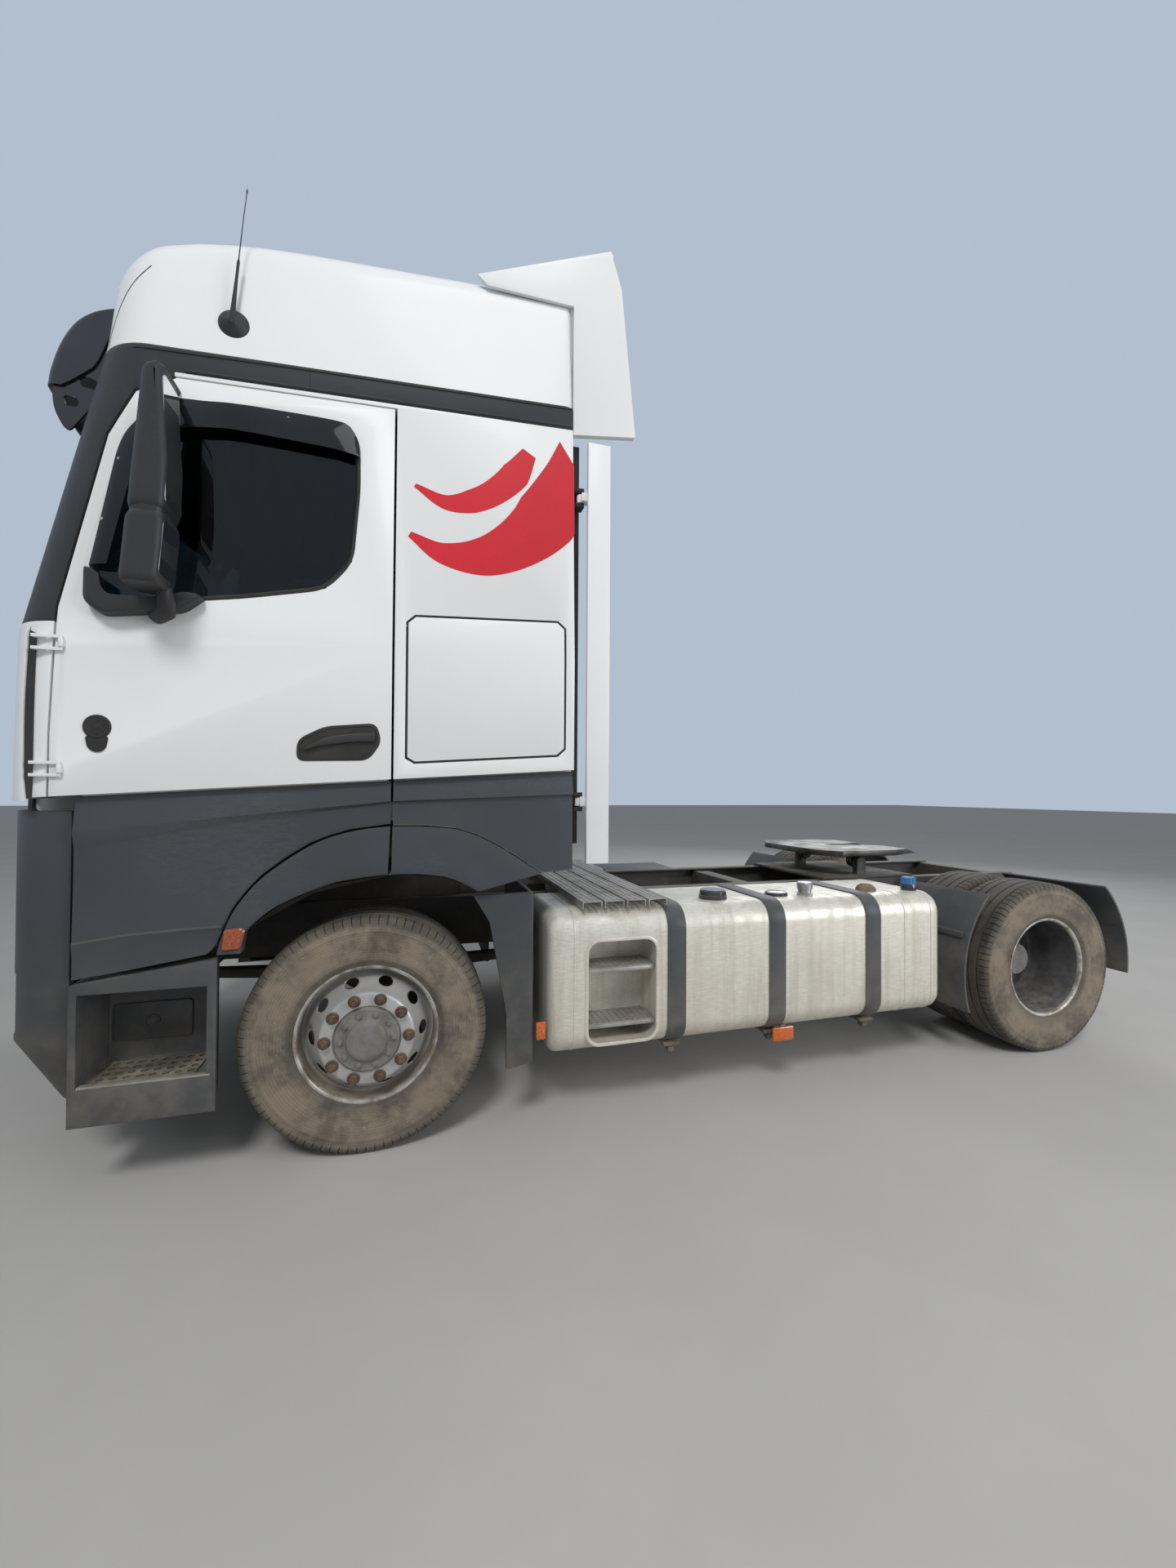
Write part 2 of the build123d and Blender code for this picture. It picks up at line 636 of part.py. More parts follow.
# Skirts: arch and rear skirt fixed to the cab, door skirt on the door
skirt_outer = 1235
skirt_inner = skirt_outer - 30
arch_outer = [(67, 1379), (220, 1325), (396, 1200), (495, 1076), (557, 922)]
arch_inner = [(451, 994), (337, 1085), (158, 1159), (-87, 1193), (-293, 1179), (-362, 1156), (-449, 1110)]
with BuildPart() as cab_skirts:
    rear_x = door_rear_x - shut_gap
    with BuildSketch(at_y(skirt_outer)):
        Polygon(*from_axle(
            [(cab_rear, height_on(belt, cab_rear) - 6), (rear_x, height_on(belt, rear_x) - 6), (rear_x, 1398)]
            + arch_outer + arch_inner + [(-720, 1179), (cab_rear, 1192)]))
    extrude(amount=skirt_outer - skirt_inner)
    # Arch liner over the wheel
    with BuildSketch(at_y(skirt_inner + 1)):
        Polygon(*from_axle(arch_inner + [(x, z + 14) for x, z in reversed(arch_inner)]))
    extrude(amount=600)
    # Feet on the floor pan
    for foot_x in (-800, -250):
        slab((fx(foot_x - 40), fx(foot_x + 40)), (pan_half_width + 10 + seat, skirt_inner + 1), (1440, 1500))
    mirror(about=Plane.XZ)
keep(cab_skirts, "cab_skirts")

with BuildPart() as door_skirt:
    with BuildSketch(at_y(skirt_outer)):
        Polygon(*from_axle(
            [(1025, height_on(belt, 1025) - 6), (door_rear_x, height_on(belt, door_rear_x) - 6), (door_rear_x, 1408)]
            + [(x + 6, z + 8) for x, z in arch_outer] + [(590, 906), (829, 868), (1025, 841)]))
    extrude(amount=skirt_outer - skirt_inner)
keep_pair(door_skirt, "door_skirt")

# Door: outer wall with window opening and a plate down behind the skirt
with BuildPart() as door_panel:
    add(cab_form(0, 1400, 3300))
    add(cab_form(45, 1400, 3300), mode=Mode.SUBTRACT)
    with BuildSketch(at_y(1400)):
        Polygon(*from_axle(door_outline))
    extrude(amount=500, mode=Mode.INTERSECT)
    with BuildSketch(at_y(1400)):
        Polygon(*from_axle(window_outline))
    extrude(amount=500, mode=Mode.SUBTRACT)
    with BuildSketch(at_y(skirt_inner - seat)):
        Polygon(*from_axle([(1010, 1430), (1010, 1600), (-70, 1660), (-70, 1430)]))
    extrude(amount=14)
    for level in door_hinge_levels:
        slab((fx(door_hinge_x - 9), fx(door_hinge_x + 9)), (body_half_width - 20, door_hinge_y), (level - 15, level + 15))
        with Locations((fx(door_hinge_x), door_hinge_y, level)):
            Cylinder(9, 30)
            Cylinder(door_pin + bearing_gap, 30, mode=Mode.SUBTRACT)
keep_pair(door_panel, "door_panel")

with BuildPart() as door_glass:
    add(glass_layer.part)
    with BuildSketch(at_y(1400)):
        Polygon(*from_axle(window_outline))
        offset(amount=-seat, kind=Kind.INTERSECTION)
    extrude(amount=500, mode=Mode.INTERSECT)
keep_pair(door_glass, "door_glass")

# Door mirror: base on the door, housing, upper arm
with BuildPart() as door_mirror:
    with BuildSketch(at_y(1310)):
        Polygon(*from_axle([(986, 2360), (984, 2238), (925, 2191), (671, 2229), (602, 2290)]))
    extrude(amount=110)
    slab((fx(690), fx(800)), (1290, 1400), (2215, 2300))
    with BuildSketch(at_y(1470)):
        Polygon(*from_axle([(690, 3052), (756, 3034), (818, 2270), (697, 2290), (662, 2700)]))
    extrude(amount=180)
    slab((fx(712), fx(750)), (1160, 1400), (3085, 3120))
    slab((fx(712), fx(750)), (1355, 1400), (3020, 3110))
    add(cab_form(-seat, 1400, 3300), mode=Mode.SUBTRACT)
keep_pair(door_mirror, "mirror")

# Stowage flap: hinged at its upper edge
with BuildPart() as stowage_flap:
    add(cab_wall_ring.part)
    with BuildSketch(at_y(1400)):
        Polygon(*from_axle(flap_outline))
    extrude(amount=1400 - body_half_width + cab_wall - 1, mode=Mode.INTERSECT)
    for start, end in ((-868, -800), (-210, -112)):
        bar(flap_pin, (fx(start), flap_hinge[0], flap_hinge[1]), (fx(end), flap_hinge[0], flap_hinge[1]))
keep_pair(stowage_flap, "stowage_flap")

# Seats and bunk
with BuildPart() as seats:
    for side in (1, -1):
        slab((fx(0), fx(420)), (side * 360, side * 760), (floor_high + seat, 1860))
        slab((fx(-60), fx(480)), (side * 310, side * 810), (1850, 2000))
        with BuildSketch(at_y(side * 560 + 250)):
            Polygon(*from_axle([(60, 1900), (-60, 1900), (-180, 2740), (-80, 2750)]))
        extrude(amount=500)
    slab((fx(-800), fx(-260)), (-1080, 1080), (1950, 2090))
    slab((fx(-330), fx(-300)), (-1080, 1080), (floor_high + seat, 1960))
keep(seats, "seats")

# Dashboard with steering column and wheel
wheel_y = 560
with BuildPart() as dashboard:
    with BuildSketch(at_y(950)):
        Polygon(*from_axle([(900, nose_floor + seat), (1080, nose_floor + seat), (1180, 1900), (1180, 2200),
                            (780, 2160), (720, 2060), (760, 1900)]))
    extrude(amount=1900)
    bar(35, (fx(850), wheel_y, 2080), (fx(690), wheel_y, 2240))
    column = Plane(origin=(fx(690), wheel_y, 2240), z_dir=(-1, 0, 1))
    with BuildSketch(Plane(origin=column.origin, x_dir=(0, 1, 0), z_dir=(1, 0, 1))) as rim_section:
        with Locations((215, 0)):
            RegularPolygon(15, 5)
    revolve(rim_section.sketch, axis=Axis(column.origin, column.z_dir))
    with BuildSketch(column):
        Rectangle(420, 46)
        with Locations((0, -100)):
            Rectangle(46, 210)
    extrude(amount=12)
keep(dashboard, "dashboard")

# Sun visor: bowed shield with end cheeks and two brackets
visor_line = [(1149, 3550), (1279, 3480), (1369, 3190)]
bow_radius = 4600
with BuildPart() as sun_visor:
    with BuildSketch(Plane.XZ):
        Polygon(*from_axle(visor_line + [(x - 10, z - 8) for x, z in reversed(visor_line)]))
    revolve(axis=Axis((fx(1140) - bow_radius, 0, 0), (0, 0, 1)), revolution_arc=12)
    with BuildSketch(at_y(957)):
        Polygon(*from_axle([(1040, 3552), (1172, 3482), (1262, 3190), (1199, 2999), (1010, 3300)]))
    extrude(amount=14)
    slab((fx(1000), fx(1345)), (440, 470), (3265, 3290))
    mirror(about=Plane.XZ)
    add(cab_form(-seat, 2900, 4100), mode=Mode.SUBTRACT)
keep(sun_visor, "sun_visor")

# Roof spoiler: sloping plate, cheeks and the fins down behind the cab
with BuildPart() as roof_spoiler:
    with BuildSketch(at_y(1175)):
        Polygon(*from_axle([(-430, 3890), (-1069, 4165), (-1085, 4140), (-480, 3870)]))
    extrude(amount=2350)
    for side in (1, -1):
        with BuildSketch(at_y(side * 1160 + 15)):
            Polygon(*from_axle([(-430, 3890), (-1069, 4165), (-1125, 3990), (-1200, 3277), (-885, 3236), (-885, 3850),
                                (-480, 3850)]))
        extrude(amount=30)
    add(roof_block.part, mode=Mode.SUBTRACT)
keep(roof_spoiler, "roof_spoiler")

# Bumper: bowed skin with open back, raised corners, intakes and lamp openings
bumper_fold = 600
bumper_low = 340
bumper_lip = 120
bumper_half = 1195
bumper_rear = 1045
bumper_corner_radius = 200
bumper_corner_turn = 75
bumper_nose = 331
corner_top = 1465
centre_top = 1130


def bumper_form(inset):
    """Body of the bumper's outer shape, drawn in by inset; it runs further back than the bumper."""
    with BuildPart() as form:
        plans = [bowed_plan(z, fx(800), front_end - bumper_nose - 0.2 * lip, bumper_half - inset - lip,
                            bumper_corner_radius - inset - lip, bumper_corner_turn)
                 for z, lip in ((bumper_low, bumper_lip), (bumper_fold, 0), (corner_top, 0))]
        loft(plans, ruled=True)
    return form.part


lamp_y = (800, 1120)
lamp_z = (620, 850)
with BuildPart() as bumper:
    add(bumper_form(0))
    add(bumper_form(bumper_wall), mode=Mode.SUBTRACT)
    cut_slab((fx(700), fx(bumper_rear)), (-1300, 1300), (0, 1600))
    cut_slab((fx(700), fx(1600)), (-950, 950), (centre_top, 1600))
    cut_slab((fx(700), fx(1600)), (-700, 700), (930, 1060))
    cut_slab((fx(700), fx(1600)), (-620, 620), (450, 590))
    for side in (1, -1):
        cut_slab((fx(700), fx(1600)), (side * lamp_y[0], side * lamp_y[1]), lamp_z)
        slab((fx(bumper_arm), fx(1380)), (side * (rail_outer - 60), side * rail_outer), (740, 900))
keep(bumper, "bumper")

with BuildPart() as lamps:
    add(bumper_form(3))
    add(bumper_form(bumper_wall - 3), mode=Mode.SUBTRACT)
    with Locations((fx(1250), sum(lamp_y) / 2, sum(lamp_z) / 2)):
        Box(600, lamp_y[1] - lamp_y[0] - 2 * seat, lamp_z[1] - lamp_z[0] - 2 * seat, mode=Mode.INTERSECT)
    slab((rear_end, rear_end + lamp_depth - seat), (600, 980), (765, 855))
    mirror(about=Plane.XZ)
keep(lamps, "lamps")

# Step boxes ahead of the wheels: tread in an open recess, inner upper step, arms to the rail
step_front = 1030
step_inner = 950
with BuildPart() as step_boxes:
    with BuildSketch(Plane.XY.offset(300)):
        Polygon(*[(fx(x), y) for x, y in ((550, skirt_outer), (step_front, skirt_outer), (step_front, step_inner),
                                          (620, step_inner))])
    extrude(amount=600)
    with BuildSketch(at_y(1300)):
        Polygon(*from_axle([(500, 893), (1100, 813), (1100, 1000), (500, 1000)]))
    extrude(amount=500, mode=Mode.SUBTRACT)
    with BuildSketch(Plane.XY.offset(300)):
        Polygon(*[(fx(x), y) for x, y in ((580, 1210), (1005, 1210), (1005, 975), (645, 975))])
    extrude(amount=90, mode=Mode.SUBTRACT)
    with BuildSketch(Plane.XY.offset(440)):
        Polygon(*[(fx(x), y) for x, y in ((568, 1300), (1005, 1300), (1005, 975), (645, 975))])
    extrude(amount=345, mode=Mode.SUBTRACT)
    slab((fx(625), fx(1000)), (step_inner, step_inner + 25), (780, 1150))
    slab((fx(625), fx(1000)), (step_inner, 1180), (1122, 1150))
    for arm_x in (680, 930):
        slab((fx(arm_x), fx(arm_x + 50)), (rail_outer + seat, step_inner + 1), (740, 790))
    mirror(about=Plane.XZ)
keep(step_boxes, "step_boxes")

# Fuel tank with a stepped recess, on the left rail
recess = (-1305, -960)
tank_middle = ((tank_inner + tank_outer) / 2, (tank_bottom + tank_top) / 2)


def tank_ring(gap, x, length, mode=Mode.ADD):
    """Length of the tank's rounded section, grown by gap."""
    with BuildSketch(at_x(x)) as section:
        with Locations(tank_middle):
            RectangleRounded(tank_outer - tank_inner + 2 * gap, tank_top - tank_bottom + 2 * gap, tank_corner + gap)
    extrude(section.sketch, amount=length, mode=mode)


with BuildPart() as fuel_tank:
    tank_ring(0, fx(tank_front - tank_length), tank_length)
    cut_slab((fx(recess[0]), fx(recess[1])), (1020, 1300), (373, 850))
    for tread_z in (437, 696):
        slab((fx(recess[0]), fx(recess[1])), (1015, 1205), (tread_z, tread_z + 20))
keep(fuel_tank, "fuel_tank")

strap_width = 96
strap_thickness = 6
with BuildPart() as tank_straps:
    for x in (-1457, -2019, -2615):
        tank_ring(seat + strap_thickness, fx(x), strap_width)
        slab((fx(x + 20), fx(x + strap_width - 20)), (rail_outer + seat, tank_inner - seat - 2), (640, 900))
    tank_ring(seat, fx(-2700), 1400, Mode.SUBTRACT)
keep(tank_straps, "tank_straps")

tank_fittings = [  # x, y, radius, height
    (-1700, 1040, 75, 48),
    (-2085, 1040, 62, 22),
    (-2235, 1085, 42, 72),
    (-2680, 1040, 55, 38),
    (-2940, 1085, 42, 75),
]
with BuildPart() as tank_caps:
    for x, y, radius, height in tank_fittings:
        with Locations((fx(x), y, tank_top + seat + height / 2)):
            Cylinder(radius, height)
keep(tank_caps, "tank_caps")

# Right-hand side: exhaust box, battery box, air tanks
with BuildPart() as exhaust_box:
    with BuildSketch(at_x(fx(-1600))):
        with Locations((-860, 650)):
            RectangleRounded(720, 600, 70)
    extrude(amount=800)
    slab((fx(-1300), fx(-1100)), (-500, -rail_outer - seat), (700, 900))
keep(exhaust_box, "exhaust_box")

with BuildPart() as battery_box:
    slab((fx(-2300), fx(-1720)), (-1190, -560), (400, 760))
    slab((fx(-2310), fx(-1710)), (-1200, -550), (760, 900))
    slab((fx(-2150), fx(-1870)), (-560, -rail_outer - seat), (700, 860))
keep(battery_box, "battery_box")

with BuildPart() as air_tanks:
    for y in (-640, -930):
        bar(130, (fx(-2980), y, 620), (fx(-2370), y, 620))
    for x in (-2480, -2860):
        slab((fx(x - 30), fx(x + 30)), (-930, -rail_outer - seat), (720, 770))
keep(air_tanks, "air_tanks")

# Catwalk: four channels across frame and tank
with BuildPart() as catwalk:
    for x in (-1360, -1250, -1140, -1030):
        slab((fx(x), fx(x + 95)), (-450, 1215), (1000, 1036))
        cut_slab((fx(x + 4), fx(x + 91)), (-450, 1215), (1000, 1032))
    for low_y, foot_z in ((-rail_outer, rail_top), (rail_outer - 40, rail_top), (1000, tank_top)):
        slab((fx(-1360), fx(-935)), (low_y, low_y + 40), (foot_z + seat, 1001))
keep(catwalk, "catwalk")

# Fifth wheel: base with pivot pins, and the rocking plate
coupling_pin = 20
with BuildPart() as fifth_wheel_base:
    slab((coupling_x - 380, coupling_x + 380), (-rail_outer, rail_outer), (rail_top + seat, 970))
    for side in (1, -1):
        slab((coupling_x - 38, coupling_x + 38), (side * 310, side * 360), (965, coupling_pivot_z))
        bar(38, (coupling_x, side * 310, coupling_pivot_z), (coupling_x, side * 360, coupling_pivot_z))
        bar(coupling_pin, (coupling_x, side * 240, coupling_pivot_z), (coupling_x, side * 311, coupling_pivot_z))
keep(fifth_wheel_base, "fifth_wheel_base")

plate_plan = [(360, 300), (250, 465), (-200, 465), (-360, 400), (-520, 330), (-520, 150), (-90, 26), (0, 25.5)]
with BuildPart() as fifth_wheel:
    with BuildSketch(Plane.XY.offset(1110)):
        Polygon(*[(coupling_x + x, y) for x, y in plate_plan],
                *[(coupling_x + x, -y) for x, y in reversed(plate_plan)])
        with Locations((coupling_x, 0)):
            Circle(kingpin_bore, mode=Mode.SUBTRACT)
    extrude(amount=fifth_wheel_top - 1110)
    # The rear horns slope down
    with BuildSketch(at_y(600)):
        Polygon(*[(coupling_x + x, z) for x, z in ((-360, 1160), (-360, 1150), (-600, 1090), (-600, 1160))])
    extrude(amount=1200, mode=Mode.SUBTRACT)
    for side in (1, -1):
        slab((coupling_x - 45, coupling_x + 45), (side * 250, side * 300), (coupling_pivot_z, 1115))
        bar(45, (coupling_x, side * 250, coupling_pivot_z), (coupling_x, side * 300, coupling_pivot_z))
        bar(coupling_pin + bearing_gap, (coupling_x, side * 245, coupling_pivot_z),
            (coupling_x, side * 305, coupling_pivot_z), Mode.SUBTRACT)
keep(fifth_wheel, "fifth_wheel")

# Mudguards: flaps behind the front wheels, two curved sections at each pair of twin wheels
guard_inner = 655
guard_outer = 667
with BuildPart() as mudguards:
    with BuildSketch(at_y(1200)):
        Polygon(*from_axle([(-436, 1084), (-700, 1088), (-700, 319), (-588, 299), (-585, 555), (-509, 961)]))
    extrude(amount=30)
    slab((fx(-705), fx(-685)), (rail_outer + 10, 1200), (320, 1088))
    slab((fx(-705), fx(-685)), (rail_outer + seat, rail_outer + 11), (700, 920))
    for start, sweep, stay in ((-18, 62, 20), (135, 52, 160)):
        with BuildSketch(at_y(skirt_outer)):
            with BuildLine():
                outer = CenterArc((rear_axle_x, axle_z), guard_outer, start, sweep)
                inner = CenterArc((rear_axle_x, axle_z), guard_inner, start, sweep)
                Line(outer @ 0, inner @ 0)
                Line(outer @ 1, inner @ 1)
            make_face()
        extrude(amount=675)
        stay_x = rear_axle_x + 672 * cos(radians(stay))
        stay_z = axle_z + 672 * sin(radians(stay))
        slab((stay_x - 15, stay_x + 15), (rail_outer + seat, 1200), (stay_z - 15, stay_z + 15))
    mirror(about=Plane.XZ)
keep(mudguards, "mudguards")
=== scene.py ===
"""Visual dressing of a two-axle tractor unit: finishes, wheels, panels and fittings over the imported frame."""

import json
from math import asin, atan2, copysign, cos, hypot, pi, radians, sin, sqrt

import bmesh
import bpy
from bpy.props import FloatProperty, FloatVectorProperty, IntProperty, PointerProperty
from mathutils import Matrix, Vector

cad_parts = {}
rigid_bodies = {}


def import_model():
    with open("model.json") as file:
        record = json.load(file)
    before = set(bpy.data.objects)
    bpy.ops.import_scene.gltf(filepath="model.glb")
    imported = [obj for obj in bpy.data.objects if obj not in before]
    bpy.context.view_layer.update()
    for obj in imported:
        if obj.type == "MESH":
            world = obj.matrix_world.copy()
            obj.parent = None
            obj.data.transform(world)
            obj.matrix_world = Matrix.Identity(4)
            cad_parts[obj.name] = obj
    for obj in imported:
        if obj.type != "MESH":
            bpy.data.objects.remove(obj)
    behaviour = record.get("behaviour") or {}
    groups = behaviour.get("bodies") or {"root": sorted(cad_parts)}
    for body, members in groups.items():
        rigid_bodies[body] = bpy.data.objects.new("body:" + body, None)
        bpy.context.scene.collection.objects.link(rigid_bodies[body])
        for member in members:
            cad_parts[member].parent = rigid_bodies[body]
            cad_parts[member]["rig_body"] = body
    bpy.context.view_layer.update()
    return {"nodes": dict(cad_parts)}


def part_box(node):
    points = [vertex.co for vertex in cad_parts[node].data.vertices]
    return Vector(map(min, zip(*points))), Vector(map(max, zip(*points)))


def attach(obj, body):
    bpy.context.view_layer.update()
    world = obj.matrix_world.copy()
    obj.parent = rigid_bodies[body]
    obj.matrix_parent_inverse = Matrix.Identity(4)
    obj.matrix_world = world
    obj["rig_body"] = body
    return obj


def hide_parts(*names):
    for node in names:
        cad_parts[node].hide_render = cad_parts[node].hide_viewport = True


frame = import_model()

bl_info = {
    "name": "Tractor unit",
    "version": (1, 0, 0),
    "blender": (4, 5, 0),
    "location": "3D View > Sidebar > Tractor unit",
    "description": "Finishes, wheels, panels and fittings of a two-axle tractor unit",
    "category": "Object",
}

tyre_low, tyre_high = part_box("front_tyre_left")
AXLE_X = (tyre_low.x + tyre_high.x) / 2  # front axle in the frame, in metres
BOTH = (("left", 1), ("right", -1))
DOUBLES_APART, FINE_APART = 0.00005, 0.00002  # metres under which points are merged

# Millimetres from the front axle's middle on the ground, as in every shape below
REAR_AXLE, AXLE_Z = -3850, 506
FRONT_WHEEL = (0, 1020, AXLE_Z)
REAR_WHEELS = (REAR_AXLE, 900, AXLE_Z)
DISC_WALL = 11
HAND_HOLES, HOLE_STEPS = 10, 10  # holes in a disc, and steps of the disc for each hole
AROUND = HAND_HOLES * HOLE_STEPS
FLANGE = [(126, 281), (131, 285), (133.5, 290), (136.5, 293.5), (140, 293), (141, 288.5), (138.5, 281.5),
          (132, 276.5)]  # distance from the front wheel's middle plane, radius
NOSE_END, NOSE_HALF, NOSE_RADIUS, NOSE_TURN = 1045, 1195, 200, radians(75)
MIRROR_REAR = [(2270, 692), (2400, 680), (2700, 664), (3052, 686)]  # height, rear face
TANK_SIDE = 1222
RECESS = (-1132.5, 611.5)  # middle of the tank's step recess, side view


# Settings

class PaintSettings(bpy.types.PropertyGroup):
    panel_white: FloatVectorProperty(
        name="Panel white", description="Paint of cab, roof and doors", subtype="COLOR", size=3, min=0, max=1,
        default=(0.79, 0.80, 0.80))
    skirt_grey: FloatVectorProperty(
        name="Skirt grey", description="Moulded plastic of skirts, bumper and steps", subtype="COLOR", size=3, min=0,
        max=1, default=(0.046, 0.051, 0.057))
    trim_black: FloatVectorProperty(
        name="Trim black", description="Pillars, roof band, mirrors and seals", subtype="COLOR", size=3, min=0, max=1,
        default=(0.024, 0.024, 0.026))
    ribbon_red: FloatVectorProperty(
        name="Ribbon red", description="Bands painted behind the door", subtype="COLOR", size=3, min=0, max=1,
        default=(0.60, 0.012, 0.02))
    rim_silver: FloatVectorProperty(
        name="Rim silver", description="Painted steel of the wheels", subtype="COLOR", size=3, min=0, max=1,
        default=(0.56, 0.56, 0.55))
    road_dust: FloatVectorProperty(
        name="Road dust", description="Dust on tyres, steps and chassis", subtype="COLOR", size=3, min=0, max=1,
        default=(0.33, 0.275, 0.20))


class WheelSettings(bpy.types.PropertyGroup):
    tyre_lugs: IntProperty(
        name="Shoulder lugs", description="Number of lugs round each tyre", min=20, max=140, default=84)
    groove_depth: FloatProperty(
        name="Groove depth", description="Depth of the tread grooves", subtype="DISTANCE", unit="LENGTH", min=0.002,
        max=0.02, default=0.013)
    nut_count: IntProperty(
        name="Wheel nuts", description="Nuts on each wheel", min=4, max=20, default=10)
    nut_circle: FloatProperty(
        name="Nut circle radius", description="Radius of the circle of wheel nuts", subtype="DISTANCE", unit="LENGTH",
        min=0.1, max=0.2, default=0.1675)
    hand_hole: FloatProperty(
        name="Hand hole radius", description="Radius of the holes in the wheel disc", subtype="DISTANCE",
        unit="LENGTH", min=0.01, max=0.04, default=0.031)


class FittingSettings(bpy.types.PropertyGroup):
    seal_width: FloatProperty(
        name="Seal width", description="Width of the rubber round the windows", subtype="DISTANCE", unit="LENGTH",
        min=0.004, max=0.04, default=0.016)
    plate_pitch: FloatProperty(
        name="Perforation pitch", description="Distance between the holes across the walkway", subtype="DISTANCE",
        unit="LENGTH", min=0.01, max=0.08, default=0.0305)
    aerial_radius: FloatProperty(
        name="Aerial radius", description="Radius of the aerial's mast at its foot", subtype="DISTANCE",
        unit="LENGTH", min=0.001, max=0.01, default=0.0055)
    roof_rounding: FloatProperty(
        name="Roof rounding", description="Radius along the upper edge of the roof", subtype="DISTANCE",
        unit="LENGTH", min=0.03, max=0.2, default=0.135)


class StageSettings(bpy.types.PropertyGroup):
    key_power: FloatProperty(
        name="Key light", description="Power of the large front light", unit="POWER", min=0, default=1040)
    fill_power: FloatProperty(
        name="Fill light", description="Power of the light from behind", unit="POWER", min=0, default=240)
    floor_colour: FloatVectorProperty(
        name="Floor", description="Colour of the floor", subtype="COLOR", size=3, min=0, max=1,
        default=(0.47, 0.46, 0.445))
    backdrop: FloatVectorProperty(
        name="Backdrop", description="Colour behind the tractor unit", subtype="COLOR", size=3, min=0, max=1,
        default=(0.44, 0.52, 0.62))


# Drawing helpers

def place(x, y, z):
    """Point in the frame, in metres, from millimetres measured from the front axle's middle on the ground."""
    return (AXLE_X + x / 1000, y / 1000, z / 1000)


def line_at(points, x):
    """Value at x on a line of points sorted by x either way."""
    ordered = sorted(points)
    if x <= ordered[0][0]:
        return ordered[0][1]
    for (x0, z0), (x1, z1) in zip(ordered, ordered[1:]):
        if x <= x1:
            return z0 + (z1 - z0) * (x - x0) / (x1 - x0)
    return ordered[-1][1]


def smooth_line(points, count):
    """Evenly spread points on a smooth line through the given ones."""
    rows = [Vector(p) for p in points]
    rows = [rows[0] * 2 - rows[1]] + rows + [rows[-1] * 2 - rows[-2]]
    dense = []
    for a, b, c, d in zip(rows, rows[1:], rows[2:], rows[3:]):
        for step in range(24):
            t = step / 24
            dense.append(0.5 * (2 * b + (c - a) * t + (2 * a - 5 * b + 4 * c - d) * t ** 2
                                + (3 * b - a - 3 * c + d) * t ** 3))
    dense.append(rows[-2].copy())
    return even_line(dense, count)


def even_line(dense, count, closed=False):
    """Points spread evenly by length along a line of many points."""
    rows = [Vector(p) for p in dense]
    gone = [0.0]
    for a, b in zip(rows, rows[1:]):
        gone.append(gone[-1] + (b - a).length)
    spread = []
    index = 0
    for step in range(count):
        wanted = gone[-1] * step / (count if closed else count - 1)
        while index < len(gone) - 2 and gone[index + 1] < wanted:
            index += 1
        length = gone[index + 1] - gone[index]
        share = min(max((wanted - gone[index]) / length if length else 0, 0), 1)
        spread.append(tuple(rows[index].lerp(rows[index + 1], share)))
    return spread


def rounded_box(width, depth, corner, steps=5):
    """Closed outline of a rectangle about (0, 0) with rounded corners."""
    outline = []
    for quarter in range(4):
        sx, sy = ((1, 1), (-1, 1), (-1, -1), (1, -1))[quarter]
        for step in range(steps + 1):
            angle = pi / 2 * (quarter + step / steps)
            outline.append((sx * (width / 2 - corner) + corner * cos(angle),
                            sy * (depth / 2 - corner) + corner * sin(angle)))
    return outline


def softened(points, radius, steps=4):
    """Closed outline with every corner rounded."""
    outline = []
    count = len(points)
    for index in range(count):
        before, corner, after = (Vector(points[(index + shift) % count]) for shift in (-1, 0, 1))
        reach = min(radius, (before - corner).length * 0.48, (after - corner).length * 0.48)
        start = corner + (before - corner).normalized() * reach
        end = corner + (after - corner).normalized() * reach
        for step in range(steps + 1):
            t = step / steps
            outline.append(tuple(start * (1 - t) ** 2 + corner * 2 * t * (1 - t) + end * t ** 2))
    return outline


def rounded_at(u, v, width, depth, corner, steps=5):
    """Closed outline of a rectangle about (u, v) with rounded corners."""
    return [(u + a, v + b) for a, b in rounded_box(width, depth, corner, steps)]


def between(first, second, share):
    """Line part of the way from one line of pairs to another."""
    return [(a + (c - a) * share, b + (d - b) * share) for (a, b), (c, d) in zip(first, second)]


def behind(depth, limit=10000):
    """Call that gives the back of a sheet's point: further in by depth, from no further out than limit."""
    return lambda point: (point[0], min(point[1], limit) - depth, point[2])


def across(u, v, level, axis):
    """Point with two coordinates in a plane across an axis, and its level along that axis."""
    return (level, u, v) if axis == "x" else (u, level, v)


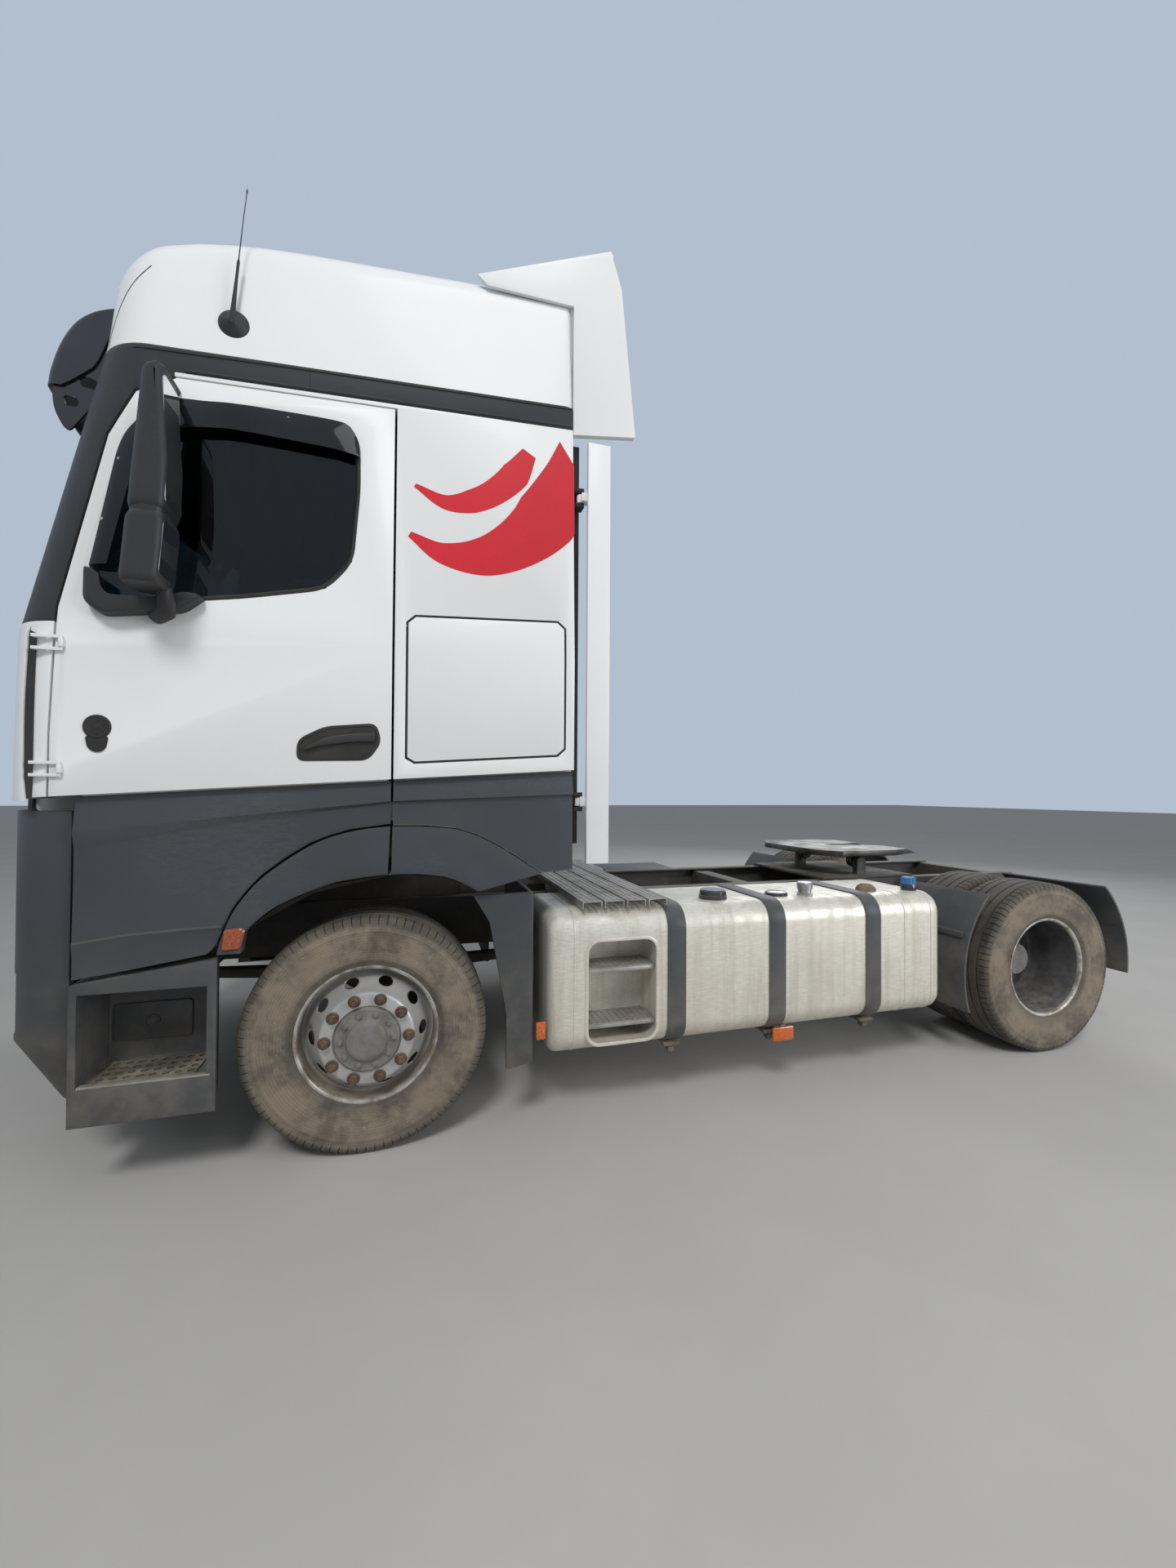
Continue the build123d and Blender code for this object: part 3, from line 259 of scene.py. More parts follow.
class Shape:
    """Points in millimetres from the front axle, and the faces between them."""

    def __init__(self):
        self.points = []
        self.faces = []

    def ring(self, points):
        first = len(self.points)
        self.points.extend(tuple(p) for p in points)
        return list(range(first, len(self.points)))

    def span(self, first, second, closed=True):
        """Faces between two rings of equal length."""
        count = len(first)
        for index in range(count if closed else count - 1):
            after = (index + 1) % count
            self.faces.append((first[index], first[after], second[after], second[index]))

    def stack(self, rings, closed=True, covers=True, looped=False):
        """Faces along a list of rings, with their ends covered, or joined last to first."""
        made = [self.ring(points) for points in rings]
        for first, second in zip(made, made[1:]):
            self.span(first, second, closed)
        if looped:
            self.span(made[-1], made[0], closed)
        elif covers:
            self.faces.append(tuple(reversed(made[0])))
            self.faces.append(tuple(made[-1]))
        return made

    def plate(self, outline, levels, axis="y"):
        """Outline in a plane across an axis, given a thickness by its levels along that axis."""
        self.stack([[across(u, v, level, axis) for u, v in outline] for level in levels])

    def lens(self, centre, size, corner, steps, levels, axis="y"):
        """Rounded plate with a slanted rim: the last of its three levels is smaller."""
        rings = []
        for level, rim in zip(levels, (0, 0, 1)):
            outline = rounded_at(*centre, size[0] - 8 * rim, size[1] - 8 * rim, corner - rim, steps)
            rings.append([across(u, v, level, axis) for u, v in outline])
        self.stack(rings)

    def slab(self, x, y, z):
        """Box between two values on each axis."""
        self.plate([(x[0], z[0]), (x[1], z[0]), (x[1], z[1]), (x[0], z[1])], y)

    def shell(self, rows, back):
        """Sheet through rows of points, closed by a second sheet: its rows, or a call that gives each point."""
        front = [self.ring(row) for row in rows]
        rear = [self.ring(row) for row in ([[back(p) for p in row] for row in rows] if callable(back) else back)]
        for sheet in (front, rear):
            for first, second in zip(sheet, sheet[1:]):
                self.span(first, second, closed=False)
        self.span(front[0], rear[0], closed=False)
        self.span(front[-1], rear[-1], closed=False)
        for column in (0, -1):
            self.span([row[column] for row in front], [row[column] for row in rear], closed=False)

    def tube(self, path, radius, sides=10):
        """Round bar along a path of points; radius is a number or one for each point."""
        rows = [Vector(p) for p in path]
        radii = radius if isinstance(radius, (list, tuple)) else [radius] * len(rows)
        rings = []
        outward = None
        for index, point in enumerate(rows):
            run = (rows[min(index + 1, len(rows) - 1)] - rows[max(index - 1, 0)]).normalized()
            if outward is None:
                outward = run.orthogonal().normalized()
            outward = (outward - run * outward.dot(run)).normalized()
            other = run.cross(outward)
            turns = [2 * pi * side / sides for side in range(sides)]
            rings.append([point + (outward * cos(turn) + other * sin(turn)) * radii[index] for turn in turns])
        self.stack(rings)

    def turned(self, section, centre, axis="y", steps=48, closed=True):
        """Section of (distance along the axis, radius) turned about an axis through centre."""
        rings = []
        for step in range(steps):
            angle = 2 * pi * step / steps
            ring = []
            for along, radius in section:
                u, v = radius * sin(angle), radius * cos(angle)
                spot = {"x": (along, u, v), "y": (u, along, v), "z": (u, v, along)}[axis]
                ring.append(tuple(c + s for c, s in zip(centre, spot)))
            rings.append(ring)
        self.stack(rings, closed=closed, looped=True)


def shade(mesh, sharp):
    """Smooth shading, broken at edges that turn by more than sharp degrees."""
    mesh.shade_smooth()
    mesh.set_sharp_from_angle(angle=radians(sharp))


def linked(name, data):
    """New object in the scene."""
    piece = bpy.data.objects.new(name, data)
    bpy.context.scene.collection.objects.link(piece)
    return piece


def evaluated_mesh(piece):
    """Plain mesh of a piece with its modifiers applied."""
    bpy.context.view_layer.update()
    graph = bpy.context.evaluated_depsgraph_get()
    return bpy.data.meshes.new_from_object(piece.evaluated_get(graph))


def settle(piece):
    """Apply the piece's modifiers, so that it is a plain mesh."""
    made = evaluated_mesh(piece)
    old = piece.data
    piece.modifiers.clear()
    piece.data = made
    made.name = piece.name
    bpy.data.meshes.remove(old)


def dress(piece, finish, sharp=35):
    """Give a piece its one finish and its shading."""
    piece.data.materials.clear()
    piece.data.materials.append(bpy.data.materials[finish])
    shade(piece.data, sharp)


def join_body(piece, body, replaces=()):
    """Fix a piece to its body and hide the frame nodes it stands for."""
    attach(piece, body)
    if replaces:
        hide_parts(*replaces)


def soften_edges(piece, width, steps, angle):
    """Bevel the edges that turn by more than angle degrees, by width millimetres."""
    bevel = piece.modifiers.new("Rounding", "BEVEL")
    bevel.width = width / 1000
    bevel.segments = steps
    bevel.limit_method = "ANGLE"
    bevel.angle_limit = radians(angle)
    bevel.use_clamp_overlap = True


def make(name, shape, finish, body, side=1, replaces=(), rounding=0.0, steps=2, sharp=35, levels=0):
    """Piece from a shape; side -1 mirrors it to the right-hand side."""
    mesh = bpy.data.meshes.new(name)
    mesh.from_pydata([place(x, side * y, z) for x, y, z in shape.points], [], shape.faces)
    form = bmesh.new()
    form.from_mesh(mesh)
    bmesh.ops.remove_doubles(form, verts=form.verts, dist=DOUBLES_APART)
    bmesh.ops.dissolve_degenerate(form, edges=form.edges, dist=FINE_APART)
    bmesh.ops.recalc_face_normals(form, faces=form.faces)
    form.to_mesh(mesh)
    form.free()
    piece = linked(name, mesh)
    if levels:
        subdivision = piece.modifiers.new("Subdivision", "SUBSURF")
        subdivision.levels = subdivision.render_levels = levels
    if rounding:
        soften_edges(piece, rounding, steps, 30)
    if levels or rounding:
        settle(piece)
    dress(piece, finish, sharp)
    join_body(piece, body, replaces)
    return piece


def flat_plate(loops, thickness):
    """Mesh of a flat plate: loops of (x, z) in millimetres, the first the outline, the others holes."""
    data = bpy.data.curves.new("Plate outline", "CURVE")
    data.dimensions = "2D"
    data.fill_mode = "BOTH"
    data.extrude = thickness / 2
    for loop in loops:
        spline = data.splines.new("POLY")
        spline.points.add(len(loop) - 1)
        for point, (x, z) in zip(spline.points, loop):
            point.co = (x / 1000, z / 1000, 0, 1)
        spline.use_cyclic_u = True
    outline = linked("Plate outline", data)
    mesh = evaluated_mesh(outline)
    bpy.data.objects.remove(outline)
    bpy.data.curves.remove(data)
    return mesh


def wrap_mesh(name, mesh, finish, body):
    """Piece from a ready mesh in the frame's metres."""
    form = bmesh.new()
    form.from_mesh(mesh)
    bmesh.ops.remove_doubles(form, verts=form.verts, dist=FINE_APART)
    bmesh.ops.recalc_face_normals(form, faces=form.faces)
    form.to_mesh(mesh)
    form.free()
    piece = linked(name, mesh)
    dress(piece, finish, 30)
    join_body(piece, body)


def refined(node, finish, slot, rounding=3.0, steps=2, angle=38, name=None, wanted=None):
    """Piece cut from a merged copy of a frame node, with its edges rounded; wanted picks the faces to keep."""
    source = frame["nodes"][node]
    mesh = bpy.data.meshes.new(name or node + "_skin")
    form = bmesh.new()
    form.from_mesh(source.data)
    bmesh.ops.remove_doubles(form, verts=form.verts, dist=FINE_APART)
    if wanted:
        outside = [face for face in form.faces if not wanted(face.calc_center_median())]
        bmesh.ops.delete(form, geom=outside, context="FACES")
        bmesh.ops.holes_fill(form, edges=[edge for edge in form.edges if edge.is_boundary])
    bmesh.ops.dissolve_limit(form, angle_limit=radians(0.7), verts=form.verts, edges=form.edges)
    form.to_mesh(mesh)
    form.free()
    piece = linked(mesh.name, mesh)
    if rounding:
        soften_edges(piece, rounding, steps, angle)
        settle(piece)
    dress(piece, finish, 32)
    join_body(piece, source["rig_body"], (node,))


# Shader building

class Tree:
    """A node tree with short calls for adding and joining nodes."""

    def __init__(self, tree):
        self.tree = tree

    def add(self, kind, inputs=None, **settings):
        node = self.tree.nodes.new(kind)
        for key, value in settings.items():
            setattr(node, key, value)
        for key, value in (inputs or {}).items():
            self.feed(node.inputs[key], value)
        return node

    def feed(self, socket, value):
        if isinstance(value, bpy.types.NodeSocket):
            self.tree.links.new(value, socket)
        else:
            socket.default_value = value

    def math(self, operation, first, second=0.0, third=None, clamp=False):
        node = self.add("ShaderNodeMath", operation=operation, use_clamp=clamp)
        self.feed(node.inputs[0], first)
        self.feed(node.inputs[1], second)
        if third is not None:
            self.feed(node.inputs[2], third)
        return node.outputs[0]

    def range(self, value, low, high, out_low=0.0, out_high=1.0):
        node = self.add("ShaderNodeMapRange", interpolation_type="SMOOTHSTEP")
        for socket, item in zip(node.inputs[:5], (value, low, high, out_low, out_high)):
            self.feed(socket, item)
        return node.outputs[0]

    def blend(self, share, first, second):
        node = self.add("ShaderNodeMix", data_type="RGBA")
        self.feed(node.inputs[0], share)
        self.feed(node.inputs[6], first)
        self.feed(node.inputs[7], second)
        return node.outputs[2]

    def object_point(self, stretch=None):
        point = self.add("ShaderNodeTexCoord").outputs["Object"]
        if stretch is None:
            return point
        node = self.add("ShaderNodeVectorMath", operation="MULTIPLY")
        self.feed(node.inputs[0], point)
        self.feed(node.inputs[1], stretch)
        return node.outputs[0]

    def noise(self, vector, scale, detail=4.0, roughness=0.55):
        return self.add("ShaderNodeTexNoise", {"Vector": vector, "Scale": scale, "Detail": detail,
                                               "Roughness": roughness}).outputs["Fac"]


def effect(name, sockets, outputs):
    """New shader node group: returns it, its input sockets and its output node."""
    tree = bpy.data.node_groups.new(name, "ShaderNodeTree")
    for label, kind, default in sockets:
        socket = tree.interface.new_socket(name=label, in_out="INPUT", socket_type="NodeSocket" + kind)
        socket.default_value = default
    for label, kind in outputs:
        tree.interface.new_socket(name=label, in_out="OUTPUT", socket_type="NodeSocket" + kind)
    helper = Tree(tree)
    entry = tree.nodes.new("NodeGroupInput")
    leave = tree.nodes.new("NodeGroupOutput")
    return helper, entry.outputs, leave.inputs


def build_effects():
    """The shader effects that the finishes share."""
    white = (1, 1, 1, 1)
    # Cloudy change between two colours
    tree, given, result = effect(
        "Cloudy colour",
        [("First", "Color", white), ("Second", "Color", white), ("Scale", "Float", 2.0), ("Share", "Float", 0.5)],
        [("Colour", "Color"), ("Mask", "Float")])
    cloud = tree.noise(tree.object_point(), given["Scale"], 6.0)
    mask = tree.math("MULTIPLY", tree.range(cloud, 0.38, 0.66), given["Share"], clamp=True)
    tree.feed(result["Colour"], tree.blend(mask, given["First"], given["Second"]))
    tree.feed(result["Mask"], mask)
    # Road dust: thick near the ground, thinner above, settled on surfaces that face up
    tree, given, result = effect(
        "Road dust",
        [("Base", "Color", white), ("Dust", "Color", white), ("Top", "Float", 1.0), ("Amount", "Float", 0.5),
         ("Settled", "Float", 0.2), ("Scale", "Float", 6.0)],
        [("Colour", "Color"), ("Mask", "Float")])
    point = tree.object_point()
    height = tree.add("ShaderNodeSeparateXYZ", {0: point}).outputs[2]
    low = tree.math("MULTIPLY", given["Top"], 0.15)
    rising = tree.range(height, given["Top"], low)
    cloud = tree.range(tree.noise(point, given["Scale"], 8.0, 0.65), 0.36, 0.68, 0.25, 1.0)
    splash = tree.math("MULTIPLY", tree.math("MULTIPLY", rising, cloud), given["Amount"])
    facing = tree.add("ShaderNodeSeparateXYZ", {0: tree.add("ShaderNodeNewGeometry").outputs["Normal"]}).outputs[2]
    resting = tree.math("MULTIPLY", tree.range(facing, 0.35, 0.95), given["Settled"])
    mask = tree.math("ADD", splash, tree.math("MULTIPLY", resting, cloud), clamp=True)
    tree.feed(result["Colour"], tree.blend(mask, given["Base"], given["Dust"]))
    tree.feed(result["Mask"], mask)
    # Moulded grain
    tree, given, result = effect("Grain", [("Scale", "Float", 400.0)], [("Height", "Float")])
    tree.feed(result["Height"], tree.noise(tree.object_point(), given["Scale"], 3.0, 0.7))
    # Fine scratches and scuffs
    tree, given, result = effect("Scuffs", [("Scale", "Float", 9.0), ("Share", "Float", 0.3)], [("Mask", "Float")])
    drift = tree.noise(tree.object_point((1.0, 1.0, 4.0)), given["Scale"], 9.0, 0.8)
    thin = tree.math("SUBTRACT", 1.0, tree.range(tree.math("ABSOLUTE", tree.math("SUBTRACT", drift, 0.5)), 0.0, 0.012))
    patch = tree.range(tree.noise(tree.object_point(), 1.7, 3.0), 0.5, 0.62)
    tree.feed(result["Mask"], tree.math("MULTIPLY", tree.math("MULTIPLY", thin, patch), given["Share"], clamp=True))
    # Streaks drawn out along one direction
    tree, given, result = effect(
        "Streaks", [("Stretch", "Vector", (1.0, 1.0, 1.0)), ("Scale", "Float", 40.0)], [("Value", "Float")])
    tree.feed(result["Value"], tree.noise(tree.object_point(given["Stretch"]), given["Scale"], 6.0, 0.6))


def placed(tree, group, **inputs):
    """Place a shared effect in a finish, with its own values."""
    node = tree.add("ShaderNodeGroup", node_tree=bpy.data.node_groups[group])
    for label, value in inputs.items():
        tree.feed(node.inputs[label], value)
    return node.outputs


def rgba(colour):
    return (*colour, 1.0)


def new_finish(name):
    """Empty finish with its shader and output: returns the tree helper and the shader."""
    material = bpy.data.materials.new(name)
    material.use_nodes = True
    material.node_tree.nodes.clear()
    tree = Tree(material.node_tree)
    shader = tree.add("ShaderNodeBsdfPrincipled")
    tree.add("ShaderNodeOutputMaterial", {"Surface": shader.outputs[0]})
    return tree, shader


def surface_finish(name, first, second, roughness, metallic=0.0, coat=0.0, cloud=1.5, share=0.4, grain=0.0, depth=0.1,
                   dust=(0.25, 0.205, 0.155), top=1.2, amount=0.3, settled=0.2, scuffs=0.0, dust_scale=6.0,
                   streaks=None):
    """Painted, moulded or bare surface with cloudy colour, dust, scuffs and grain."""
    tree, shader = new_finish(name)
    body = placed(tree, "Cloudy colour", First=rgba(first), Second=rgba(second), Scale=cloud, Share=share)
    colour = body["Colour"]
    if streaks:
        stretch, scale, tint, strength = streaks
        drawn = placed(tree, "Streaks", Stretch=stretch, Scale=scale)["Value"]
        colour = tree.blend(tree.range(drawn, 0.42, 0.72, 0.0, strength), colour, rgba(tint))
    if scuffs:
        marks = placed(tree, "Scuffs", Share=scuffs)["Mask"]
        colour = tree.blend(marks, colour, rgba([min(1, 1.9 * c + 0.12) for c in first]))
    dusty = placed(tree, "Road dust", Base=colour, Dust=rgba(dust), Top=top, Amount=amount, Settled=settled,
                   Scale=dust_scale)
    tree.feed(shader.inputs["Base Color"], dusty["Colour"])
    worn = tree.math("ADD", roughness, tree.math("MULTIPLY", body["Mask"], 0.12))
    tree.feed(shader.inputs["Roughness"], tree.math("MULTIPLY_ADD", dusty["Mask"], 0.45, worn, clamp=True))
    if metallic:
        tree.feed(shader.inputs["Metallic"],
                  tree.math("SUBTRACT", metallic, tree.math("MULTIPLY", dusty["Mask"], metallic * 0.9), clamp=True))
    shader.inputs["Coat Roughness"].default_value = 0.08
    if coat:
        tree.feed(shader.inputs["Coat Weight"],
                  tree.math("SUBTRACT", coat, tree.math("MULTIPLY", dusty["Mask"], coat), clamp=True))
    relief = tree.noise(tree.object_point(), 26.0, 5.0)
    if grain:
        fine = placed(tree, "Grain", Scale=grain)["Height"]
        relief = tree.math("MULTIPLY_ADD", fine, 1.0, tree.math("MULTIPLY", relief, 0.5))
    bump = tree.add("ShaderNodeBump", {"Height": relief, "Strength": 0.35, "Distance": depth / 1000})
    tree.feed(shader.inputs["Normal"], bump.outputs[0])


def glass_finish(name, colour, clarity, roughness, smear):
    """Clear or tinted glass with faint wipe marks."""
    tree, shader = new_finish(name)
    smears = placed(tree, "Streaks", Stretch=(1.0, 1.0, 0.25), Scale=5.0)["Value"]
    darker = [0.55 * c for c in colour]
    tree.feed(shader.inputs["Base Color"], tree.blend(tree.range(smears, 0.4, 0.7), rgba(colour), rgba(darker)))
    tree.feed(shader.inputs["Roughness"], tree.range(smears, 0.45, 0.75, roughness, roughness + smear))
    shader.inputs["Transmission Weight"].default_value = clarity
    shader.inputs["IOR"].default_value = 1.45


def lens_finish(name, colour, deep):
    """Coloured lamp or reflector lens with a fine prism pattern."""
    tree, shader = new_finish(name)
    point = tree.object_point()
    cells = tree.add("ShaderNodeTexVoronoi", {"Vector": point, "Scale": 160.0})
    tree.feed(shader.inputs["Base Color"],
              tree.blend(tree.range(cells.outputs["Distance"], 0.0, 0.7), rgba(colour), rgba(deep)))
    tree.feed(shader.inputs["Roughness"], tree.range(tree.noise(point, 9.0), 0.4, 0.7, 0.08, 0.22))
    bump = tree.add("ShaderNodeBump", {"Height": cells.outputs["Distance"], "Strength": 0.3, "Distance": 0.0006})
    tree.feed(shader.inputs["Normal"], bump.outputs[0])
    shader.inputs["Coat Weight"].default_value = 0.8
    shader.inputs["Coat Roughness"].default_value = 0.05


def fabric_finish(name, first, second, weave):
    """Woven cloth with two thread directions and soft sheen."""
    tree, shader = new_finish(name)
    threads = []
    for stretch in ((1.0, 0.0, 0.6), (0.0, 1.0, 0.6)):
        wave = tree.add("ShaderNodeTexWave", {"Vector": tree.object_point(stretch), "Scale": weave, "Distortion": 0.4},
                        bands_direction="DIAGONAL")
        threads.append(wave.outputs["Fac"])
    crossing = tree.math("MULTIPLY", threads[0], threads[1])
    body = placed(tree, "Cloudy colour", First=rgba(first), Second=rgba(second), Scale=14.0, Share=0.6)["Colour"]
    tree.feed(shader.inputs["Base Color"], tree.blend(tree.math("MULTIPLY", crossing, 0.5), body, rgba(second)))
    tree.feed(shader.inputs["Roughness"], tree.range(crossing, 0.0, 1.0, 0.92, 0.74))
    shader.inputs["Sheen Weight"].default_value = 0.3
    bump = tree.add("ShaderNodeBump", {"Height": crossing, "Strength": 0.4, "Distance": 0.0006})
    tree.feed(shader.inputs["Normal"], bump.outputs[0])


def tyre_finish(name, dust):
    """Rubber under a brown film of dust, darker on the worn tread and in the moulded rings."""
    tree, shader = new_finish(name)
    point = tree.object_point()
    body = placed(tree, "Cloudy colour", First=rgba((0.035, 0.033, 0.031)), Second=rgba((0.075, 0.066, 0.056)),
                  Scale=7.0, Share=0.9)["Colour"]
    film = tree.range(tree.noise(point, 6.0, 9.0, 0.72), 0.36, 0.60, 0.34, 1.0)
    spot = tree.add("ShaderNodeSeparateXYZ", {0: point}).outputs
    rise = tree.math("POWER", tree.math("SUBTRACT", spot[2], AXLE_Z / 1000), 2.0)
    reach = []
    for middle in (AXLE_X, AXLE_X + REAR_AXLE / 1000):
        run = tree.math("POWER", tree.math("ABSOLUTE", tree.math("SUBTRACT", spot[0], middle)), 2.0)
        reach.append(tree.math("SQRT", tree.math("ADD", rise, run)))
    radius = tree.math("MINIMUM", reach[0], reach[1])
    bead = tree.range(radius, 0.30, 0.345, 0.45, 1.0)
    worn = tree.range(radius, 0.452, 0.484, 1.0, 0.34)
    flank = tree.math("MULTIPLY", bead, worn)
    ring = tree.math("SINE", tree.math("MULTIPLY", radius, 520.0))
    grooved = tree.range(ring, 0.2, 1.0, 1.0, 0.8)
    caked = tree.math("MULTIPLY", tree.math("MULTIPLY", tree.math("MULTIPLY", film, flank), grooved), 0.82)
    colour = tree.blend(caked, body, rgba([0.86 * c for c in dust]))
    spots = tree.range(tree.noise(point, 38.0, 6.0, 0.75), 0.60, 0.72, 0.0, 0.5)
    colour = tree.blend(tree.math("MULTIPLY", spots, flank), colour, rgba([1.35 * c for c in dust]))
    tree.feed(shader.inputs["Base Color"], colour)
    tree.feed(shader.inputs["Roughness"], tree.range(caked, 0.0, 1.0, 0.72, 0.95))
    relief = tree.math("MULTIPLY_ADD", placed(tree, "Grain", Scale=420.0)["Height"], 0.6, film)
    bump = tree.add("ShaderNodeBump", {"Height": relief, "Strength": 0.5, "Distance": 0.0012})
    tree.feed(shader.inputs["Normal"], bump.outputs[0])


def tank_finish(name):
    """Brushed aluminium with runs of dried water, brown film below and dents of dirt."""
    tree, shader = new_finish(name)
    point = tree.object_point()
    brushed = placed(tree, "Streaks", Stretch=(1.2, 6.0, 9.0), Scale=22.0)["Value"]
    runs = placed(tree, "Streaks", Stretch=(7.0, 7.0, 0.55), Scale=2.6)["Value"]
    body = tree.blend(tree.range(brushed, 0.35, 0.7), rgba((0.71, 0.685, 0.60)), rgba((0.86, 0.83, 0.74)))
    body = tree.blend(tree.range(runs, 0.40, 0.74, 0.0, 0.62), body, rgba((0.47, 0.43, 0.345)))
    film = placed(tree, "Road dust", Base=body, Dust=rgba((0.46, 0.41, 0.32)), Top=1.25, Amount=0.55, Settled=0.35,
                  Scale=3.4)
    marks = tree.range(tree.noise(point, 11.0, 9.0, 0.8), 0.66, 0.71, 0.0, 0.5)
    tree.feed(shader.inputs["Base Color"], tree.blend(marks, film["Colour"], rgba((0.13, 0.115, 0.10))))
    tree.feed(shader.inputs["Metallic"], tree.math("MULTIPLY_ADD", film["Mask"], -0.4, 0.42, clamp=True))
    tree.feed(shader.inputs["Roughness"], tree.range(runs, 0.3, 0.8, 0.36, 0.60))
    relief = tree.math("MULTIPLY_ADD", brushed, 0.3, tree.noise(point, 5.0, 3.0))
    bump = tree.add("ShaderNodeBump", {"Height": relief, "Strength": 0.4, "Distance": 0.0012})
    tree.feed(shader.inputs["Normal"], bump.outputs[0])


def build_finishes(paint):
    """Every finish of the tractor unit."""
    dust = tuple(paint.road_dust)
    white = tuple(paint.panel_white)
    grey = tuple(paint.skirt_grey)
    black = tuple(paint.trim_black)
    silver = tuple(paint.rim_silver)
    build_effects()
    surface_finish("White paint", white, [0.94 * c for c in white], 0.28, coat=0.35, cloud=0.9, share=0.5, depth=0.05,
                   dust=(0.50, 0.47, 0.42), top=2.3, amount=0.16, settled=0.10, scuffs=0.05)
    surface_finish("Skirt plastic", grey, [1.3 * c for c in grey], 0.46, cloud=1.6, share=0.6, grain=900.0,
                   depth=0.25, dust=dust, top=1.15, amount=0.34, settled=0.22, scuffs=0.25)
    surface_finish("Trim plastic", black, [1.5 * c for c in black], 0.48, cloud=2.5, share=0.6, grain=1100.0,
                   depth=0.22, dust=[1.2 * c for c in dust], top=3.0, amount=0.05, settled=0.25, scuffs=0.12)
    surface_finish("Gloss black", (0.018, 0.018, 0.02), (0.03, 0.03, 0.032), 0.12, coat=0.7, cloud=3.0, dust=dust,
                   top=1.4, amount=0.15, settled=0.25)
    surface_finish("Seal rubber", (0.016, 0.016, 0.016), (0.03, 0.028, 0.026), 0.62, cloud=8.0, grain=700.0, dust=dust,
                   top=3.5, amount=0.12, settled=0.2)
    surface_finish("Frame paint", (0.034, 0.034, 0.036), (0.062, 0.056, 0.05), 0.52, cloud=5.0, share=0.8,
                   grain=300.0, depth=0.3, dust=dust, top=1.2, amount=0.55, settled=0.5, scuffs=0.2)
    surface_finish("Rim silver", silver, [0.72 * c for c in silver], 0.36, metallic=0.55, cloud=9.0, share=0.6,
                   dust=dust, top=0.9, amount=0.34, settled=0.3, scuffs=0.25, dust_scale=16.0)
    # Rear rims: a dark grey far below the front rims' silver, which is painted shade of the twin wheels' deep hollow
    surface_finish("Rear rim grey", (0.12, 0.125, 0.14), (0.075, 0.075, 0.08), 0.42, metallic=0.45, cloud=9.0,
                   share=0.7, dust=dust, top=0.9, amount=0.35, settled=0.3, scuffs=0.25, dust_scale=16.0)
    surface_finish("Visor plastic", (0.030, 0.033, 0.040), (0.045, 0.049, 0.056), 0.34, cloud=3.0, grain=900.0,
                   depth=0.1, dust=dust, top=3.0, amount=0.05, settled=0.25)
    surface_finish("Worn flange", (0.62, 0.60, 0.55), (0.26, 0.20, 0.14), 0.34, metallic=0.8, cloud=16.0, share=0.9,
                   dust=dust, top=0.9, amount=0.4, settled=0.3, dust_scale=20.0)
    surface_finish("Barrel dirt", (0.14, 0.115, 0.085), (0.27, 0.22, 0.16), 0.7, cloud=8.0, share=0.9, dust=dust,
                   top=1.0, amount=0.6, settled=0.4, grain=200.0, depth=0.4)
    surface_finish("Rusty steel", (0.15, 0.085, 0.05), (0.075, 0.05, 0.038), 0.72, metallic=0.35, cloud=45.0,
                   share=0.9, grain=500.0, depth=0.4, dust=dust, top=0.9, amount=0.3, settled=0.4)
    surface_finish("Hub paint", (0.20, 0.20, 0.195), (0.13, 0.125, 0.115), 0.58, metallic=0.2, cloud=20.0, share=0.8,
                   grain=260.0, depth=0.4, dust=dust, top=0.9, amount=0.4, settled=0.35)
    surface_finish("Cast iron", (0.065, 0.058, 0.052), (0.12, 0.095, 0.07), 0.68, metallic=0.3, cloud=8.0, share=0.8,
                   grain=240.0, depth=0.5, dust=dust, top=1.2, amount=0.6, settled=0.5)
    surface_finish("Greasy steel", (0.12, 0.115, 0.105), (0.035, 0.032, 0.028), 0.34, metallic=0.75, cloud=6.0,
                   share=0.95, dust=dust, top=1.4, amount=0.1, settled=0.3, scuffs=0.6)
    surface_finish("Bright steel", (0.58, 0.58, 0.57), (0.40, 0.38, 0.35), 0.26, metallic=0.95, cloud=20.0, share=0.7,
                   dust=dust, top=1.2, amount=0.25, settled=0.2)
    surface_finish("Worn aluminium", (0.50, 0.495, 0.47), (0.34, 0.32, 0.28), 0.42, metallic=0.75, cloud=9.0,
                   share=0.8, dust=dust, top=1.3, amount=0.4, settled=0.35, scuffs=0.4, dust_scale=12.0,
                   streaks=((1.0, 5.0, 5.0), 20.0, (0.28, 0.25, 0.2), 0.5))
    surface_finish("Bellows rubber", (0.022, 0.022, 0.022), (0.04, 0.038, 0.035), 0.66, cloud=10.0, grain=500.0,
                   dust=dust, top=0.9, amount=0.6, settled=0.5)
    surface_finish("Exhaust steel", (0.36, 0.34, 0.31), (0.22, 0.19, 0.155), 0.40, metallic=0.8, cloud=5.0,
                   share=0.8, dust=dust, top=1.1, amount=0.45, settled=0.4)
    surface_finish("Dash plastic", (0.045, 0.045, 0.048), (0.06, 0.06, 0.062), 0.6, cloud=5.0, grain=1400.0,
                   depth=0.35, top=0.2, amount=0.0, settled=0.1)
    surface_finish("Ribbon red", tuple(paint.ribbon_red), [0.82 * c for c in paint.ribbon_red], 0.30, coat=0.35,
                   cloud=1.4, share=0.6, top=0.2, amount=0.0, settled=0.05, scuffs=0.12)
    surface_finish("Cap blue", (0.05, 0.19, 0.44), (0.04, 0.14, 0.34), 0.42, cloud=20.0, grain=900.0, dust=dust,
                   top=1.4, amount=0.25, settled=0.25)
    surface_finish("Plate white", (0.74, 0.74, 0.72), (0.64, 0.63, 0.60), 0.4, cloud=8.0, dust=dust, top=1.0,
                   amount=0.3, settled=0.1)
